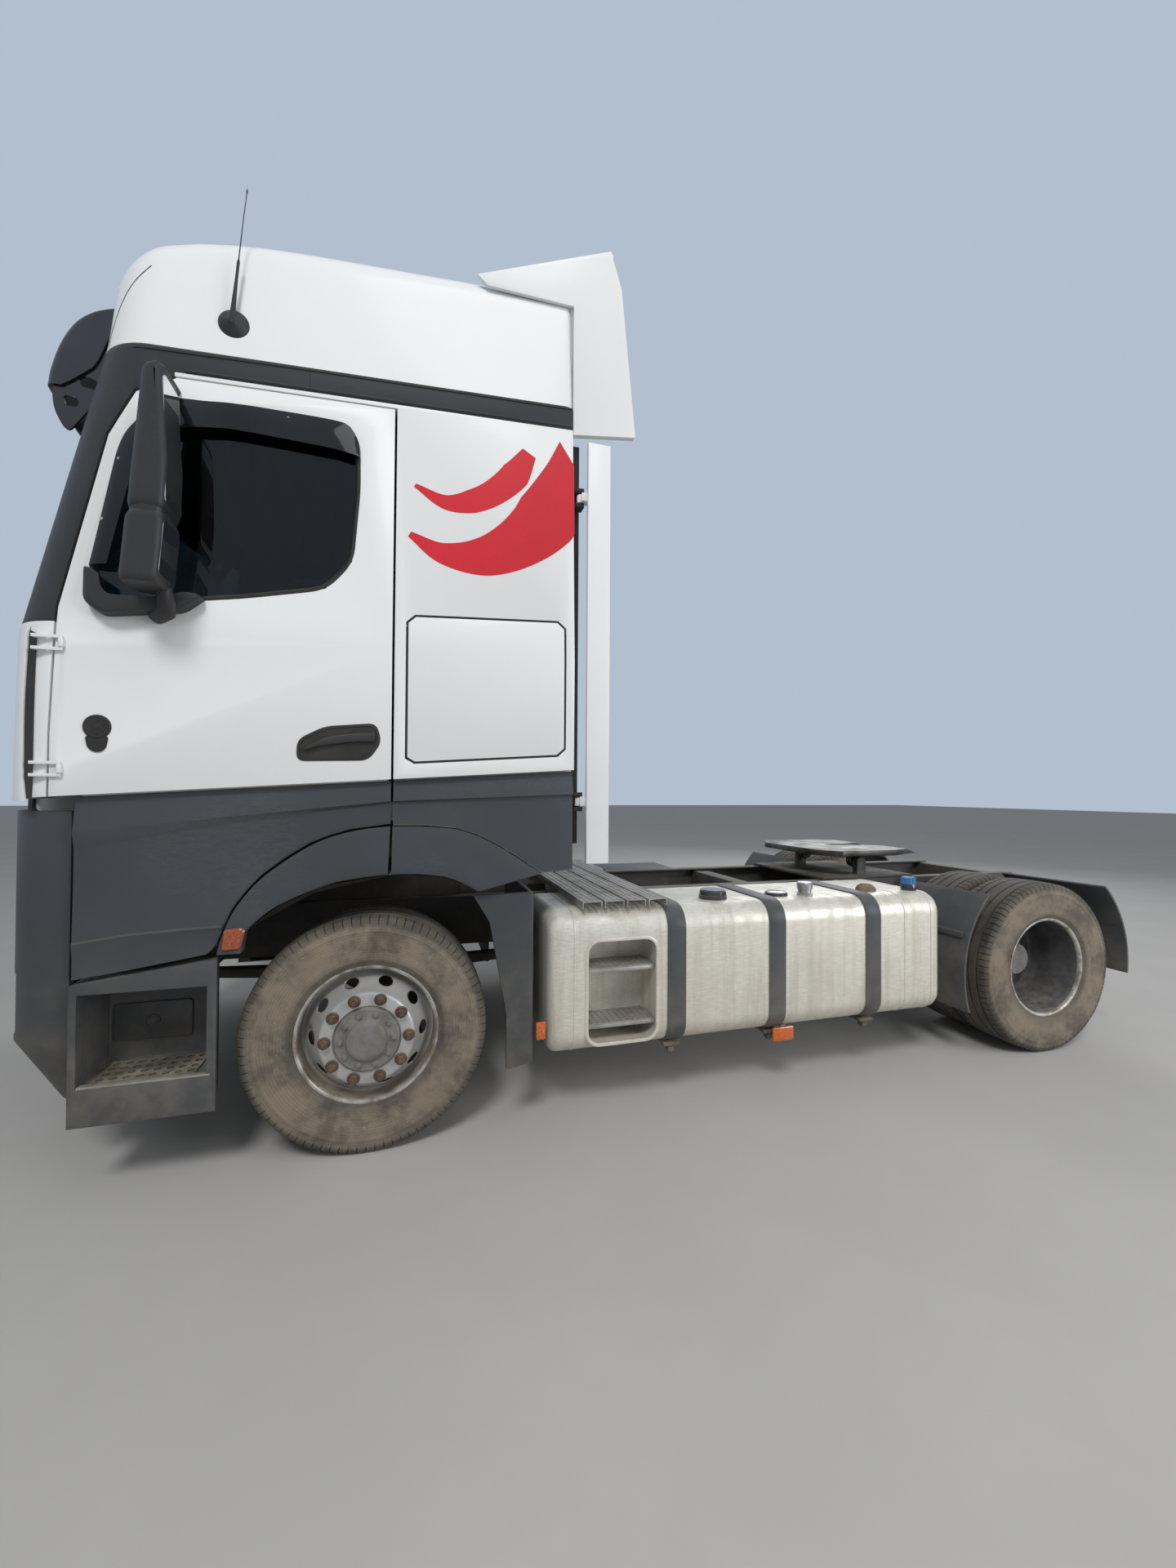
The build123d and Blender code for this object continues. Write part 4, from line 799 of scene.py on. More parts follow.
    tyre_finish("Dusty tyre", dust)
    tank_finish("Tank aluminium")
    glass_finish("Window glass", (0.10, 0.13, 0.14), 1.0, 0.015, 0.04)
    glass_finish("Lamp glass", (0.90, 0.91, 0.91), 1.0, 0.02, 0.05)
    glass_finish("Smoked visor", (0.014, 0.015, 0.017), 0.25, 0.05, 0.08)
    lens_finish("Amber lens", (0.80, 0.21, 0.02), (0.50, 0.09, 0.01))
    lens_finish("Orange marker", (0.46, 0.11, 0.03), (0.24, 0.045, 0.012))
    lens_finish("Red lens", (0.55, 0.02, 0.02), (0.28, 0.008, 0.008))
    lens_finish("Clear lens", (0.80, 0.80, 0.78), (0.55, 0.55, 0.55))
    fabric_finish("Woven cloth", (0.055, 0.057, 0.065), (0.12, 0.12, 0.135), 380.0)
    fabric_finish("Bunk cloth", (0.16, 0.16, 0.17), (0.26, 0.255, 0.25), 300.0)
    tree, shader = new_finish("Mirror glass")
    smear = tree.range(tree.noise(tree.object_point(), 7.0, 5.0), 0.4, 0.75)
    tree.feed(shader.inputs["Base Color"], tree.blend(smear, (0.74, 0.76, 0.77, 1), (0.62, 0.64, 0.65, 1)))
    tree.feed(shader.inputs["Roughness"], tree.range(smear, 0.0, 1.0, 0.02, 0.12))
    shader.inputs["Metallic"].default_value = 1.0


# Geometry node trees

def node_tree(name, sockets):
    """New geometry node tree: returns its helper, its inputs, its output node and its socket identifiers."""
    tree = bpy.data.node_groups.new(name, "GeometryNodeTree")
    tree.interface.new_socket(name="Geometry", in_out="INPUT", socket_type="NodeSocketGeometry")
    tree.interface.new_socket(name="Geometry", in_out="OUTPUT", socket_type="NodeSocketGeometry")
    names = {}
    for label, kind, default in sockets:
        socket = tree.interface.new_socket(name=label, in_out="INPUT", socket_type="NodeSocket" + kind)
        if default is not None:
            socket.default_value = default
        names[label] = socket.identifier
    helper = Tree(tree)
    entry = tree.nodes.new("NodeGroupInput")
    leave = tree.nodes.new("NodeGroupOutput")
    return helper, entry.outputs, leave, names


def finish_tree(tree, geometry, given, leave):
    """End a geometry tree in real geometry with its finish."""
    real = tree.add("GeometryNodeRealizeInstances", {"Geometry": geometry}).outputs[0]
    done = tree.add("GeometryNodeSetMaterial", {"Geometry": real, "Material": given["Finish"]}).outputs[0]
    tree.feed(leave.inputs[0], done)


def build_repeaters():
    """Geometry node trees for rings of fasteners and perforated plates."""
    made = {}
    # Ring of hexagonal fasteners, each with a collar, standing on a plane that faces along its axis
    tree, given, leave, names = node_tree("Fastener ring", [
        ("Count", "Int", 10), ("Circle", "Float", 0.1675), ("Radius", "Float", 0.02), ("Height", "Float", 0.025),
        ("Sides", "Int", 6), ("Collar", "Float", 0.025), ("Turn", "Float", 0.0), ("Finish", "Material", None)])
    circle = tree.add("GeometryNodeMeshCircle", {"Vertices": given["Count"], "Radius": given["Circle"]}).outputs[0]
    head = tree.add("GeometryNodeMeshCylinder", {"Vertices": given["Sides"], "Radius": given["Radius"],
                                                 "Depth": given["Height"]}).outputs[0]
    lift = tree.add("ShaderNodeCombineXYZ", {2: tree.math("MULTIPLY", given["Height"], 0.5)}).outputs[0]
    head = tree.add("GeometryNodeTransform", {"Geometry": head, "Translation": lift}).outputs[0]
    tip = tree.add("GeometryNodeMeshCylinder", {"Vertices": 10, "Radius": tree.math("MULTIPLY", given["Radius"], 0.5),
                                                "Depth": given["Height"]}).outputs[0]
    above = tree.add("ShaderNodeCombineXYZ", {2: tree.math("MULTIPLY", given["Height"], 0.78)}).outputs[0]
    tip = tree.add("GeometryNodeTransform", {"Geometry": tip, "Translation": above}).outputs[0]
    collar = tree.add("GeometryNodeMeshCone", {"Vertices": 20, "Radius Bottom": given["Collar"],
                                               "Radius Top": tree.math("MULTIPLY", given["Collar"], 0.86),
                                               "Depth": tree.math("MULTIPLY", given["Height"], 0.3)}).outputs[0]
    whole = tree.add("GeometryNodeJoinGeometry")
    for part in (head, tip, collar):
        tree.feed(whole.inputs[0], part)
    twist = tree.add("FunctionNodeRandomValue", {"Min": 0.0, "Max": 1.0}, data_type="FLOAT")
    twist.inputs["Seed"].default_value = 4
    turn = tree.add("ShaderNodeCombineXYZ", {2: tree.math("MULTIPLY_ADD", twist.outputs[1], 1.0, given["Turn"])})
    spread = tree.add("GeometryNodeInstanceOnPoints", {"Points": circle, "Instance": whole.outputs[0],
                                                       "Rotation": turn.outputs[0]}).outputs[0]
    finish_tree(tree, spread, given, leave)
    made["ring"] = (tree.tree, names)
    # Flat plate with a grid of round holes
    tree, given, leave, names = node_tree("Perforated plate", [
        ("Columns", "Int", 10), ("Rows", "Int", 3), ("Pitch X", "Float", 0.03), ("Pitch Y", "Float", 0.03),
        ("Hole", "Float", 0.008), ("Thickness", "Float", 0.003), ("Finish", "Material", None)])
    frame_line = tree.add("GeometryNodeCurvePrimitiveQuadrilateral", {"Width": given["Pitch X"],
                                                                       "Height": given["Pitch Y"]}).outputs[0]
    hole = tree.add("GeometryNodeCurvePrimitiveCircle", {"Resolution": 10, "Radius": given["Hole"]},
                    mode="RADIUS").outputs[0]
    lines = tree.add("GeometryNodeJoinGeometry")
    tree.feed(lines.inputs[0], frame_line)
    tree.feed(lines.inputs[0], hole)
    cell = tree.add("GeometryNodeFillCurve", {"Curve": lines.outputs[0]}).outputs[0]
    wide = tree.math("MULTIPLY", given["Pitch X"], tree.math("SUBTRACT", given["Columns"], 1.0))
    deep = tree.math("MULTIPLY", given["Pitch Y"], tree.math("SUBTRACT", given["Rows"], 1.0))
    grid = tree.add("GeometryNodeMeshGrid", {"Size X": wide, "Size Y": deep, "Vertices X": given["Columns"],
                                             "Vertices Y": given["Rows"]}).outputs[0]
    cells = tree.add("GeometryNodeInstanceOnPoints", {"Points": grid, "Instance": cell}).outputs[0]
    flat = tree.add("GeometryNodeRealizeInstances", {"Geometry": cells}).outputs[0]
    flat = tree.add("GeometryNodeMergeByDistance", {"Geometry": flat, "Distance": 0.0004}).outputs[0]
    raised = tree.add("GeometryNodeExtrudeMesh", {"Mesh": flat, "Offset Scale": given["Thickness"],
                                                  "Individual": False}).outputs[0]
    under = tree.add("GeometryNodeFlipFaces", {"Mesh": flat}).outputs[0]
    both = tree.add("GeometryNodeJoinGeometry")
    tree.feed(both.inputs[0], raised)
    tree.feed(both.inputs[0], under)
    closed = tree.add("GeometryNodeMergeByDistance", {"Geometry": both.outputs[0], "Distance": 0.0002}).outputs[0]
    finish_tree(tree, closed, given, leave)
    made["plate"] = (tree.tree, names)
    return made


REPEATERS = {}


def repeated(kind, name, finish, matrices, body, slot, rounding=0.0, **inputs):
    """Piece from a geometry node tree, copied to each matrix and joined to one mesh."""
    tree, names = REPEATERS[kind]
    piece = linked(name, bpy.data.meshes.new(name))
    modifier = piece.modifiers.new("Repeat", "NODES")
    modifier.node_group = tree
    for label, value in inputs.items():
        modifier[names[label.replace("_", " ")]] = value
    modifier[names["Finish"]] = bpy.data.materials[finish]
    settle(piece)
    whole = bmesh.new()
    for matrix in matrices:
        copy = piece.data.copy()
        copy.transform(matrix)
        if matrix.determinant() < 0:
            copy.flip_normals()
        whole.from_mesh(copy)
        bpy.data.meshes.remove(copy)
    whole.to_mesh(piece.data)
    whole.free()
    if rounding:
        soften_edges(piece, rounding, 1, 40)
        settle(piece)
    dress(piece, finish, 30)
    join_body(piece, body)


def aimed(x, y, z, along):
    """Matrix that puts a piece's own +Z along a direction, at a point given in millimetres."""
    forward = Vector(along).normalized()
    across = Vector((0, 0, 1)).cross(forward)
    if across.length < 0.001:
        across = Vector((1, 0, 0))
    across.normalize()
    other = forward.cross(across)
    turn = Matrix((across, other, forward)).transposed().to_4x4()
    return Matrix.Translation(place(x, y, z)) @ turn


# Cab skin: half width and end of the straight side at each height
CAB_LEVELS = [(1150, 1245, 1080), (2150, 1245, 1057), (3300, 1185, 825), (4100, 1145, 745)]
CORNER_RADIUS = 210
CORNER_TURN = radians(78)


def cab_level(z):
    """Half width and end of the straight side of the cab at a height."""
    half = line_at([(level, width) for level, width, end in CAB_LEVELS], z)
    end = line_at([(level, end) for level, width, end in CAB_LEVELS], z)
    return half, end


def skin(x, z):
    """Distance of the cab's side skin from the middle plane."""
    half, end = cab_level(z)
    if x <= end:
        return half
    return half - CORNER_RADIUS + sqrt(max(CORNER_RADIUS ** 2 - (x - end) ** 2, 0))


def bowed(y, edge, turn):
    """Rise of a bowed front over its edges, where it meets corners that turn by an angle."""
    bow = edge / cos(turn)
    return sqrt(max(bow ** 2 - y ** 2, 0)) - sqrt(bow ** 2 - edge ** 2)


def screen(y, z):
    """Front of the cab at a distance from the middle plane and a height."""
    half, end = cab_level(z)
    corner_x = end + CORNER_RADIUS * sin(CORNER_TURN)
    corner_y = half - CORNER_RADIUS * (1 - cos(CORNER_TURN))
    if abs(y) > corner_y:
        return corner_x
    return corner_x + bowed(y, corner_y, CORNER_TURN)


def laid(line, proud):
    """Side-view line laid on the cab's side skin, at a height above it."""
    return [(x, skin(x, z) + proud, z) for x, z in line]


def skin_strip(shape, path, profile, closed=True, cover=skin):
    """Strip along a side-view path on a skin; profile holds (across, proud) points of its section."""
    rings = []
    count = len(path)
    for index in range(count):
        before = path[index - 1] if closed or index else path[0]
        after = path[(index + 1) % count] if closed or index < count - 1 else path[-1]
        run = (Vector(after) - Vector(before)).normalized()
        side = Vector((-run.y, run.x))
        ring = []
        for offset, proud in profile:
            x, z = Vector(path[index]) + side * offset
            ring.append((x, cover(x, z) + proud, z))
        rings.append(ring)
    shape.stack(rings, looped=closed)


def skin_plate(shape, outline, low, high):
    """Thin plate with a side-view outline that follows the cab's side between two heights above it."""
    shape.stack([laid(outline, proud) for proud in (low, high)])


def nose(y):
    """Front of the bumper above its fold, at a distance from the middle plane."""
    corner_x = NOSE_END + NOSE_RADIUS * sin(NOSE_TURN)
    corner_y = NOSE_HALF - NOSE_RADIUS * (1 - cos(NOSE_TURN))
    if y > corner_y:
        return NOSE_END + sqrt(max(NOSE_RADIUS ** 2 - (y - NOSE_HALF + NOSE_RADIUS) ** 2, 0))
    return corner_x + bowed(y, corner_y, NOSE_TURN)


# Operators

class TRACTOR_OT_finishes(bpy.types.Operator):
    """Make every finish and geometry node tree that the pieces use"""

    bl_idname = "tractor.finishes"
    bl_label = "Finishes"

    def execute(self, context):
        build_finishes(context.scene.tractor_paint)
        REPEATERS.update(build_repeaters())
        return {"FINISHED"}


class TRACTOR_OT_stage(bpy.types.Operator):
    """Make the pale floor, the backdrop, the soft lights and the camera"""

    bl_idname = "tractor.stage"
    bl_label = "Stage"

    def execute(self, context):
        stage = context.scene.tractor_stage
        self.make_camera(context)
        self.make_floor(stage)
        self.make_lights(context, stage)
        context.scene.view_settings.view_transform = "Standard"
        return {"FINISHED"}

    def make_camera(self, context):
        """Camera with the lens, place and turn fitted to the photograph."""
        data = bpy.data.cameras.new("Camera")
        data.lens = 13.5
        data.sensor_width = 36
        camera = linked("Camera", data)
        spot = Vector((AXLE_X - 0.1827, 3.8458, 1.5489))
        yaw, pitch, roll = 0.28609, 0.01288, 0.00609  # radians
        ahead = Vector((-sin(yaw), -cos(yaw), 0))
        right = Vector((-cos(yaw), sin(yaw), 0))
        up = Vector((0, 0, 1))
        look = ahead * cos(pitch) + up * sin(pitch)
        crown = up * cos(pitch) - ahead * sin(pitch)
        level = right * cos(roll) + crown * sin(roll)
        top = crown * cos(roll) - right * sin(roll)
        turn = Matrix((level, top, -look)).transposed().to_4x4()
        camera.matrix_world = Matrix.Translation(spot) @ turn
        context.scene.camera = camera

    def make_floor(self, stage):
        """Wide floor with a faint cloud in its colour."""
        mesh = bpy.data.meshes.new("Floor")
        form = bmesh.new()
        bmesh.ops.create_grid(form, x_segments=24, y_segments=24, size=60)
        form.to_mesh(mesh)
        form.free()
        floor = linked("Floor", mesh)
        tree, shader = new_finish("Floor finish")
        colour = tuple(stage.floor_colour)
        cloud = tree.noise(tree.object_point(), 1.4, 8.0, 0.6)
        paler = rgba([min(1.0, 1.05 * c) for c in colour])
        tree.feed(shader.inputs["Base Color"], tree.blend(tree.range(cloud, 0.35, 0.7), rgba(colour), paler))
        shader.inputs["Roughness"].default_value = 0.9
        mesh.materials.append(bpy.data.materials["Floor finish"])

    def make_lights(self, context, stage):
        """Pale backdrop with a weaker light of its own, and four soft disks aimed at the middle."""
        world = bpy.data.worlds.new("Studio")
        context.scene.world = world
        world.use_nodes = True
        world.node_tree.nodes.clear()
        tree = Tree(world.node_tree)
        path = tree.add("ShaderNodeLightPath").outputs
        seen = tree.math("MAXIMUM", path["Is Camera Ray"],
                         tree.math("MAXIMUM", path["Is Glossy Ray"], path["Is Transmission Ray"]))
        ambient = tree.add("ShaderNodeBackground", {"Color": (0.90, 0.94, 1.0, 1), "Strength": 0.30})
        shown = tree.add("ShaderNodeBackground", {"Color": rgba(stage.backdrop), "Strength": 1.0})
        mixed = tree.add("ShaderNodeMixShader", {0: seen, 1: ambient.outputs[0], 2: shown.outputs[0]})
        tree.add("ShaderNodeOutputWorld", {"Surface": mixed.outputs[0]})
        target = Vector(place(-1500, 0, 1500))
        for name, spot, size, power in (
                ("Key", place(2600, 9200, 10500), 3.2, stage.key_power * 0.75),
                ("Glint", place(-1800, 7600, 11600), 5.5, stage.key_power * 0.13),
                ("Fill", place(-9000, -6500, 6000), 6.0, stage.fill_power),
                ("Side", place(-8500, 7500, 3500), 5.0, stage.fill_power * 1.4)):
            data = bpy.data.lights.new(name, "AREA")
            data.shape = "DISK"
            data.size = size
            data.energy = power
            light = linked(name, data)
            light.visible_camera = False
            light.visible_transmission = False
            light.visible_glossy = name != "Key"
            light.location = spot
            light.rotation_mode = "QUATERNION"
            light.rotation_quaternion = (target - Vector(spot)).to_track_quat("-Z", "Y")


class TRACTOR_OT_chassis(bpy.types.Operator):
    """Dress the frame, axles, springs, engine, gearbox, steering and boxes"""

    bl_idname = "tractor.chassis"
    bl_label = "Chassis"

    def execute(self, context):
        rows = [  # node, finish, slot, rounding in millimetres
            ("chassis_frame", "Frame paint", "frame_paint", 3.0),
            ("front_axle", "Cast iron", "cast_parts", 4.0),
            ("knuckle_left", "Cast iron", "cast_parts", 4.0),
            ("knuckle_right", "Cast iron", "cast_parts", 4.0),
            ("tie_rod", "Cast iron", "cast_parts", 2.0),
            ("rear_axle", "Cast iron", "cast_parts", 5.0),
            ("engine_block", "Cast iron", "cast_parts", 8.0),
            ("driveline", "Cast iron", "cast_parts", 5.0),
            ("battery_box", "Skirt plastic", "dark_plastic", 14.0),
            ("air_tanks", "Frame paint", "frame_paint", 12.0),
            ("exhaust_box", "Exhaust steel", "bare_aluminium", 8.0),
            ("fifth_wheel_base", "Frame paint", "frame_paint", 4.0),
        ]
        for row in rows:
            refined(*row)
        self.make_bellows()
        return {"FINISHED"}

    def make_bellows(self):
        """Four air bellows with three rolled folds each."""
        shape = Shape()
        low, high = 420.3, 663.7
        for x in (-370, 370):
            for side in (1, -1):
                section = [(low, 0.01), (low, 78), (low + 70, 80), (low + 84, 88)]
                for fold in range(3):
                    foot = low + 92 + fold * 46
                    section += [(foot, 100), (foot + 10, 110), (foot + 28, 110), (foot + 38, 99)]
                section += [(high - 6, 104), (high, 100), (high, 0.01)]
                shape.turned(section, (REAR_AXLE + x, side * 405, 0), axis="z", steps=40)
        make("air_bellows_skin", shape, "Bellows rubber", "chassis", replaces=("air_bellows",))


class TRACTOR_OT_wheels(bpy.types.Operator):
    """Make tyres, rims, hubs and nuts of the front wheels and the twin rear wheels"""

    bl_idname = "tractor.wheels"
    bl_label = "Wheels"

    def execute(self, context):
        sizes = context.scene.tractor_wheels
        twins = [(REAR_AXLE, middle) for middle in (725, 1075)]
        for label, side in BOTH:
            body = "front_wheel_" + label
            self.make_tyres("front_tyre_skin_" + label, [FRONT_WHEEL[:2]], sizes, body, side, "front_tyre_" + label)
            self.make_front_rim(label, side, sizes)
            body = "rear_wheels_" + label
            self.make_tyres("rear_tyre_skin_" + label, twins, sizes, body, side, "rear_tyres_" + label)
            self.make_rear_rims(label, side, sizes)
        return {"FINISHED"}

    def make_tyres(self, name, places, sizes, body, side, node):
        """Tyres with grooves, moulded rings and shoulder lugs."""
        depth = sizes.groove_depth * 1000
        flank = [  # distance from the middle plane, radius, share of the lug notch
            (118, 286.4, 0), (127, 287, 0), (135, 290, 0), (140, 298, 0), (141, 306, 0), (147, 312, 0), (150, 322, 0),
            (149, 330, 0), (151, 337, 0), (149.6, 343, 0), (154, 366, 0), (157, 398, 0), (157.3, 420, 0),
            (155.6, 437, 0), (157.0, 441, 0), (155.0, 446, 0), (152, 458, 0), (151, 466, 0.4), (153, 472, 1),
            (150, 484, 1), (143, 494, 1), (136, 499.5, 1), (128, 501.5, 1), (112, 503, 1), (100, 503.8, 0.5),
            (97, 503.6 - depth, 0), (88, 503.6 - depth, 0), (85, 504.6, 0), (62, 505.2, 0), (46, 505.6, 0),
            (43, 505.4 - depth, 0), (34, 505.4 - depth, 0), (31, 506, 0), (12, 506, 0)]
        inner = [(-108, 292, 0), (-134, 330, 0), (-142, 400, 0), (-126, 468, 0), (0, 478, 0)]
        inner += [(-y, r, share) for y, r, share in reversed(inner[:-1])]
        section = flank + [(-y, r, share) for y, r, share in reversed(flank)] + inner
        notch_depth, notch_inset, tread_edge = 7.5, 3.0, 495
        shape = Shape()
        for axle_x, middle in places:
            rings = []
            for lug in range(sizes.tyre_lugs):
                for part, notched in ((0.0, 0), (0.84, 0), (0.92, 1)):
                    angle = 2 * pi * (lug + part) / sizes.tyre_lugs
                    ring = []
                    for y, r, share in section:
                        radius = r - notch_depth * share * notched
                        inset = notch_inset * share * notched if r < tread_edge else 0
                        y = y - inset if y > 0 else y + inset
                        ring.append((axle_x + radius * sin(angle), middle + y, AXLE_Z + radius * cos(angle)))
                    rings.append(ring)
            shape.stack(rings, looped=True)
        make(name, shape, "Dusty tyre", body, side, replaces=(node,), sharp=40)

    def holed_zone(self, shape, profile, centre, radius):
        """Cone between two profile points, with round holes: front, back and hole walls."""
        (y0, r0), (y1, r1) = profile
        slant = hypot(y1 - y0, r1 - r0)
        mean = (r0 + r1) / 2
        half = pi / HAND_HOLES
        divisions, lip_depth = 6, 3.0

        def spot(angle, along, deep):
            r = r0 + (r1 - r0) * along / slant
            y = y0 + (y1 - y0) * along / slant - deep
            return (centre[0] + r * sin(angle), centre[1] + y, AXLE_Z + r * cos(angle))

        for hole in range(HAND_HOLES):
            origin = 2 * pi * (hole + 0.5) / HAND_HOLES
            edge = [(-half + 2 * half * i / HOLE_STEPS, 0.0) for i in range(HOLE_STEPS)]
            edge += [(half, slant * i / divisions) for i in range(divisions)]
            edge += [(half - 2 * half * i / HOLE_STEPS, slant) for i in range(HOLE_STEPS)]
            edge += [(-half, slant - slant * i / divisions) for i in range(divisions)]
            rims = {1.0: [], 1.09: [], 1.35: []}  # rings round the hole, by their share of its radius
            for angle, along in edge:
                turn = atan2(along - slant / 2, angle * mean)
                for share in rims:
                    rims[share].append((radius * share * cos(turn) / mean, slant / 2 + radius * share * sin(turn)))
            loops = ((edge, 0), (rims[1.35], 0), (rims[1.09], 0), (rims[1.0], lip_depth), (rims[1.0], DISC_WALL),
                     (edge, DISC_WALL))
            made = [shape.ring([spot(origin + a, s, deep) for a, s in loop]) for loop, deep in loops]
            for first, second in zip(made, made[1:]):
                shape.span(first, second)

    def make_front_rim(self, label, side, sizes):
        """Bulging disc with hand holes, barrel, flange, hub, valve and nuts."""
        body = "front_wheel_" + label
        disc = Shape()
        outer, inner = (76, 252), (165, 199)
        self.holed_zone(disc, (inner, outer), FRONT_WHEEL, sizes.hand_hole * 1000)
        for section in (
                [inner, (174, 195), (181, 190.5), (185, 185), (186, 180), (186, 138)],
                [(165 - DISC_WALL, 199), (170, 188), (173, 178), (173, 122), (186, 138)],
                [outer, (70, 258), (66, 267), (66, 271), (54, 271), (56, 262), (76 - DISC_WALL, 252)]):
            disc.turned(section, FRONT_WHEEL, steps=AROUND, closed=False)
        make(f"front_disc_skin_{label}", disc, "Rim silver", body, side,
             replaces=(f"front_rim_{label}",), sharp=38)
        barrel = Shape()
        barrel.turned([(68, 270.5), (100, 272), (116, 276), (124, 281), (127.5, 285.5), (-127, 285.5), (-127, 279),
                       (-110, 271), (-60, 268), (40, 268)], FRONT_WHEEL, steps=AROUND)
        make(f"front_barrel_skin_{label}", barrel, "Barrel dirt", body, side)
        self.make_flange(f"front_flange_{label}", 0, 120, FRONT_WHEEL, body, side)
        hub = Shape()
        hub.turned([(173, 0.01), (173, 132.5), (191, 132.5), (197, 130), (200, 125), (200, 90), (203, 84.5),
                    (214, 79), (218, 72), (219.5, 60), (220, 0.01)], FRONT_WHEEL, steps=72)
        hub.turned([(-60, 50.3), (-60, 118), (-52, 120), (174, 120), (174, 50.3)], FRONT_WHEEL, steps=60)
        make(f"front_hub_skin_{label}", hub, "Hub paint", body, side, sharp=30)
        valve = Shape()
        start = Vector(FRONT_WHEEL) + Vector((236, 120, 78))
        valve.tube([start, start + Vector((-6, 34, -3)), start + Vector((-14, 62, -6)), start + Vector((-16, 70, -7))],
                   [4, 4, 4, 5.5])
        make(f"front_valve_{label}", valve, "Seal rubber", body, side)
        self.make_nuts(f"front_nuts_{label}", FRONT_WHEEL, 186, side, body, sizes, 0.3)
        self.make_hub_bolts(f"front_hub_bolts_{label}", FRONT_WHEEL, 199, side, body, Circle=0.106, Radius=0.0105,
                            Collar=0.013)

    def make_flange(self, name, out, foot, wheel, body, side):
        """Worn edge of a rim, out from the front wheel's place for it, on a foot nearer the middle plane."""
        section = [(foot, 279.5), *[(out + y, radius) for y, radius in FLANGE], (foot, 274.5)]
        flange = Shape()
        flange.turned(section, wheel, steps=AROUND)
        make(name, flange, "Worn flange", body, side)

    def make_nuts(self, name, wheel, out, side, body, sizes, turn):
        """Ring of wheel nuts, out from the wheel's middle plane."""
        spot = aimed(wheel[0], side * (wheel[1] + out), AXLE_Z, (0, side, 0))
        repeated("ring", name, "Rusty steel", [spot], body, "plain_steel", rounding=1.2, Count=sizes.nut_count,
                 Circle=sizes.nut_circle, Radius=0.0185, Height=0.027, Collar=0.0265, Turn=turn)

    def make_hub_bolts(self, name, wheel, out, side, body, **sizes):
        """Ring of bolts in the hub, out from the wheel's middle plane."""
        spot = aimed(wheel[0], side * (wheel[1] + out), AXLE_Z, (0, side, 0))
        repeated("ring", name, "Hub paint", [spot], body, "rim_paint", rounding=1.0, Count=10, Height=0.011, Turn=0.1,
                 **sizes)

    def make_rear_rims(self, label, side, sizes):
        """Hollow disc with hand holes between two barrels, flange, hub and nuts."""
        body = "rear_wheels_" + label
        disc = Shape()
        outer, inner = (14, 247), (11, 192)
        self.holed_zone(disc, (inner, outer), REAR_WHEELS, 24)
        for section in (
                [inner, (11, 142), (8, 140), (1, 140), (0, 142), (0, 192)],
                [outer, (22, 255), (40, 262), (70, 266), (70, 270.5), (30, 269), (9, 262), (3, 247)]):
            disc.turned(section, REAR_WHEELS, steps=AROUND, closed=False)
        disc.turned([(0, 262), (0, 141), (-10, 141), (-14, 240), (-30, 258), (-70, 264), (-70, 270), (-20, 268)],
                    REAR_WHEELS, steps=AROUND)
        for near, far in ((48, 302), (-302, -48)):
            disc.turned([(near, 270), (near, 285.5), (far, 285.5), (far, 279), (far - 14 if near > 0 else far + 4, 274),
                         (far - 40, 270), (near + 60, 264)], REAR_WHEELS, steps=AROUND)
        # The rear rims' finish is a dark grey standing in for painted shade, not the silver of the front rims
        make(f"rear_rims_skin_{label}", disc, "Rear rim grey", body, side,
             replaces=(f"rear_rims_{label}",), sharp=38)
        self.make_flange(f"rear_flange_{label}", 175, 296, REAR_WHEELS, body, side)
        hub = Shape()
        hub.turned([(-250, 50.4), (-250, 139), (60, 139), (63, 136), (63, 101), (70, 99), (120, 97), (128, 92),
                    (130, 84), (130, 0.01), (66, 0.01), (66, 50.4)], REAR_WHEELS, steps=60)
        make(f"rear_hub_skin_{label}", hub, "Hub paint", body, side, sharp=30)
        self.make_nuts(f"rear_nuts_{label}", REAR_WHEELS, 11, side, body, sizes, 0.2)
        self.make_hub_bolts(f"rear_hub_bolts_{label}", REAR_WHEELS, 62, side, body, Circle=0.118, Radius=0.0095,
                            Collar=0.012)


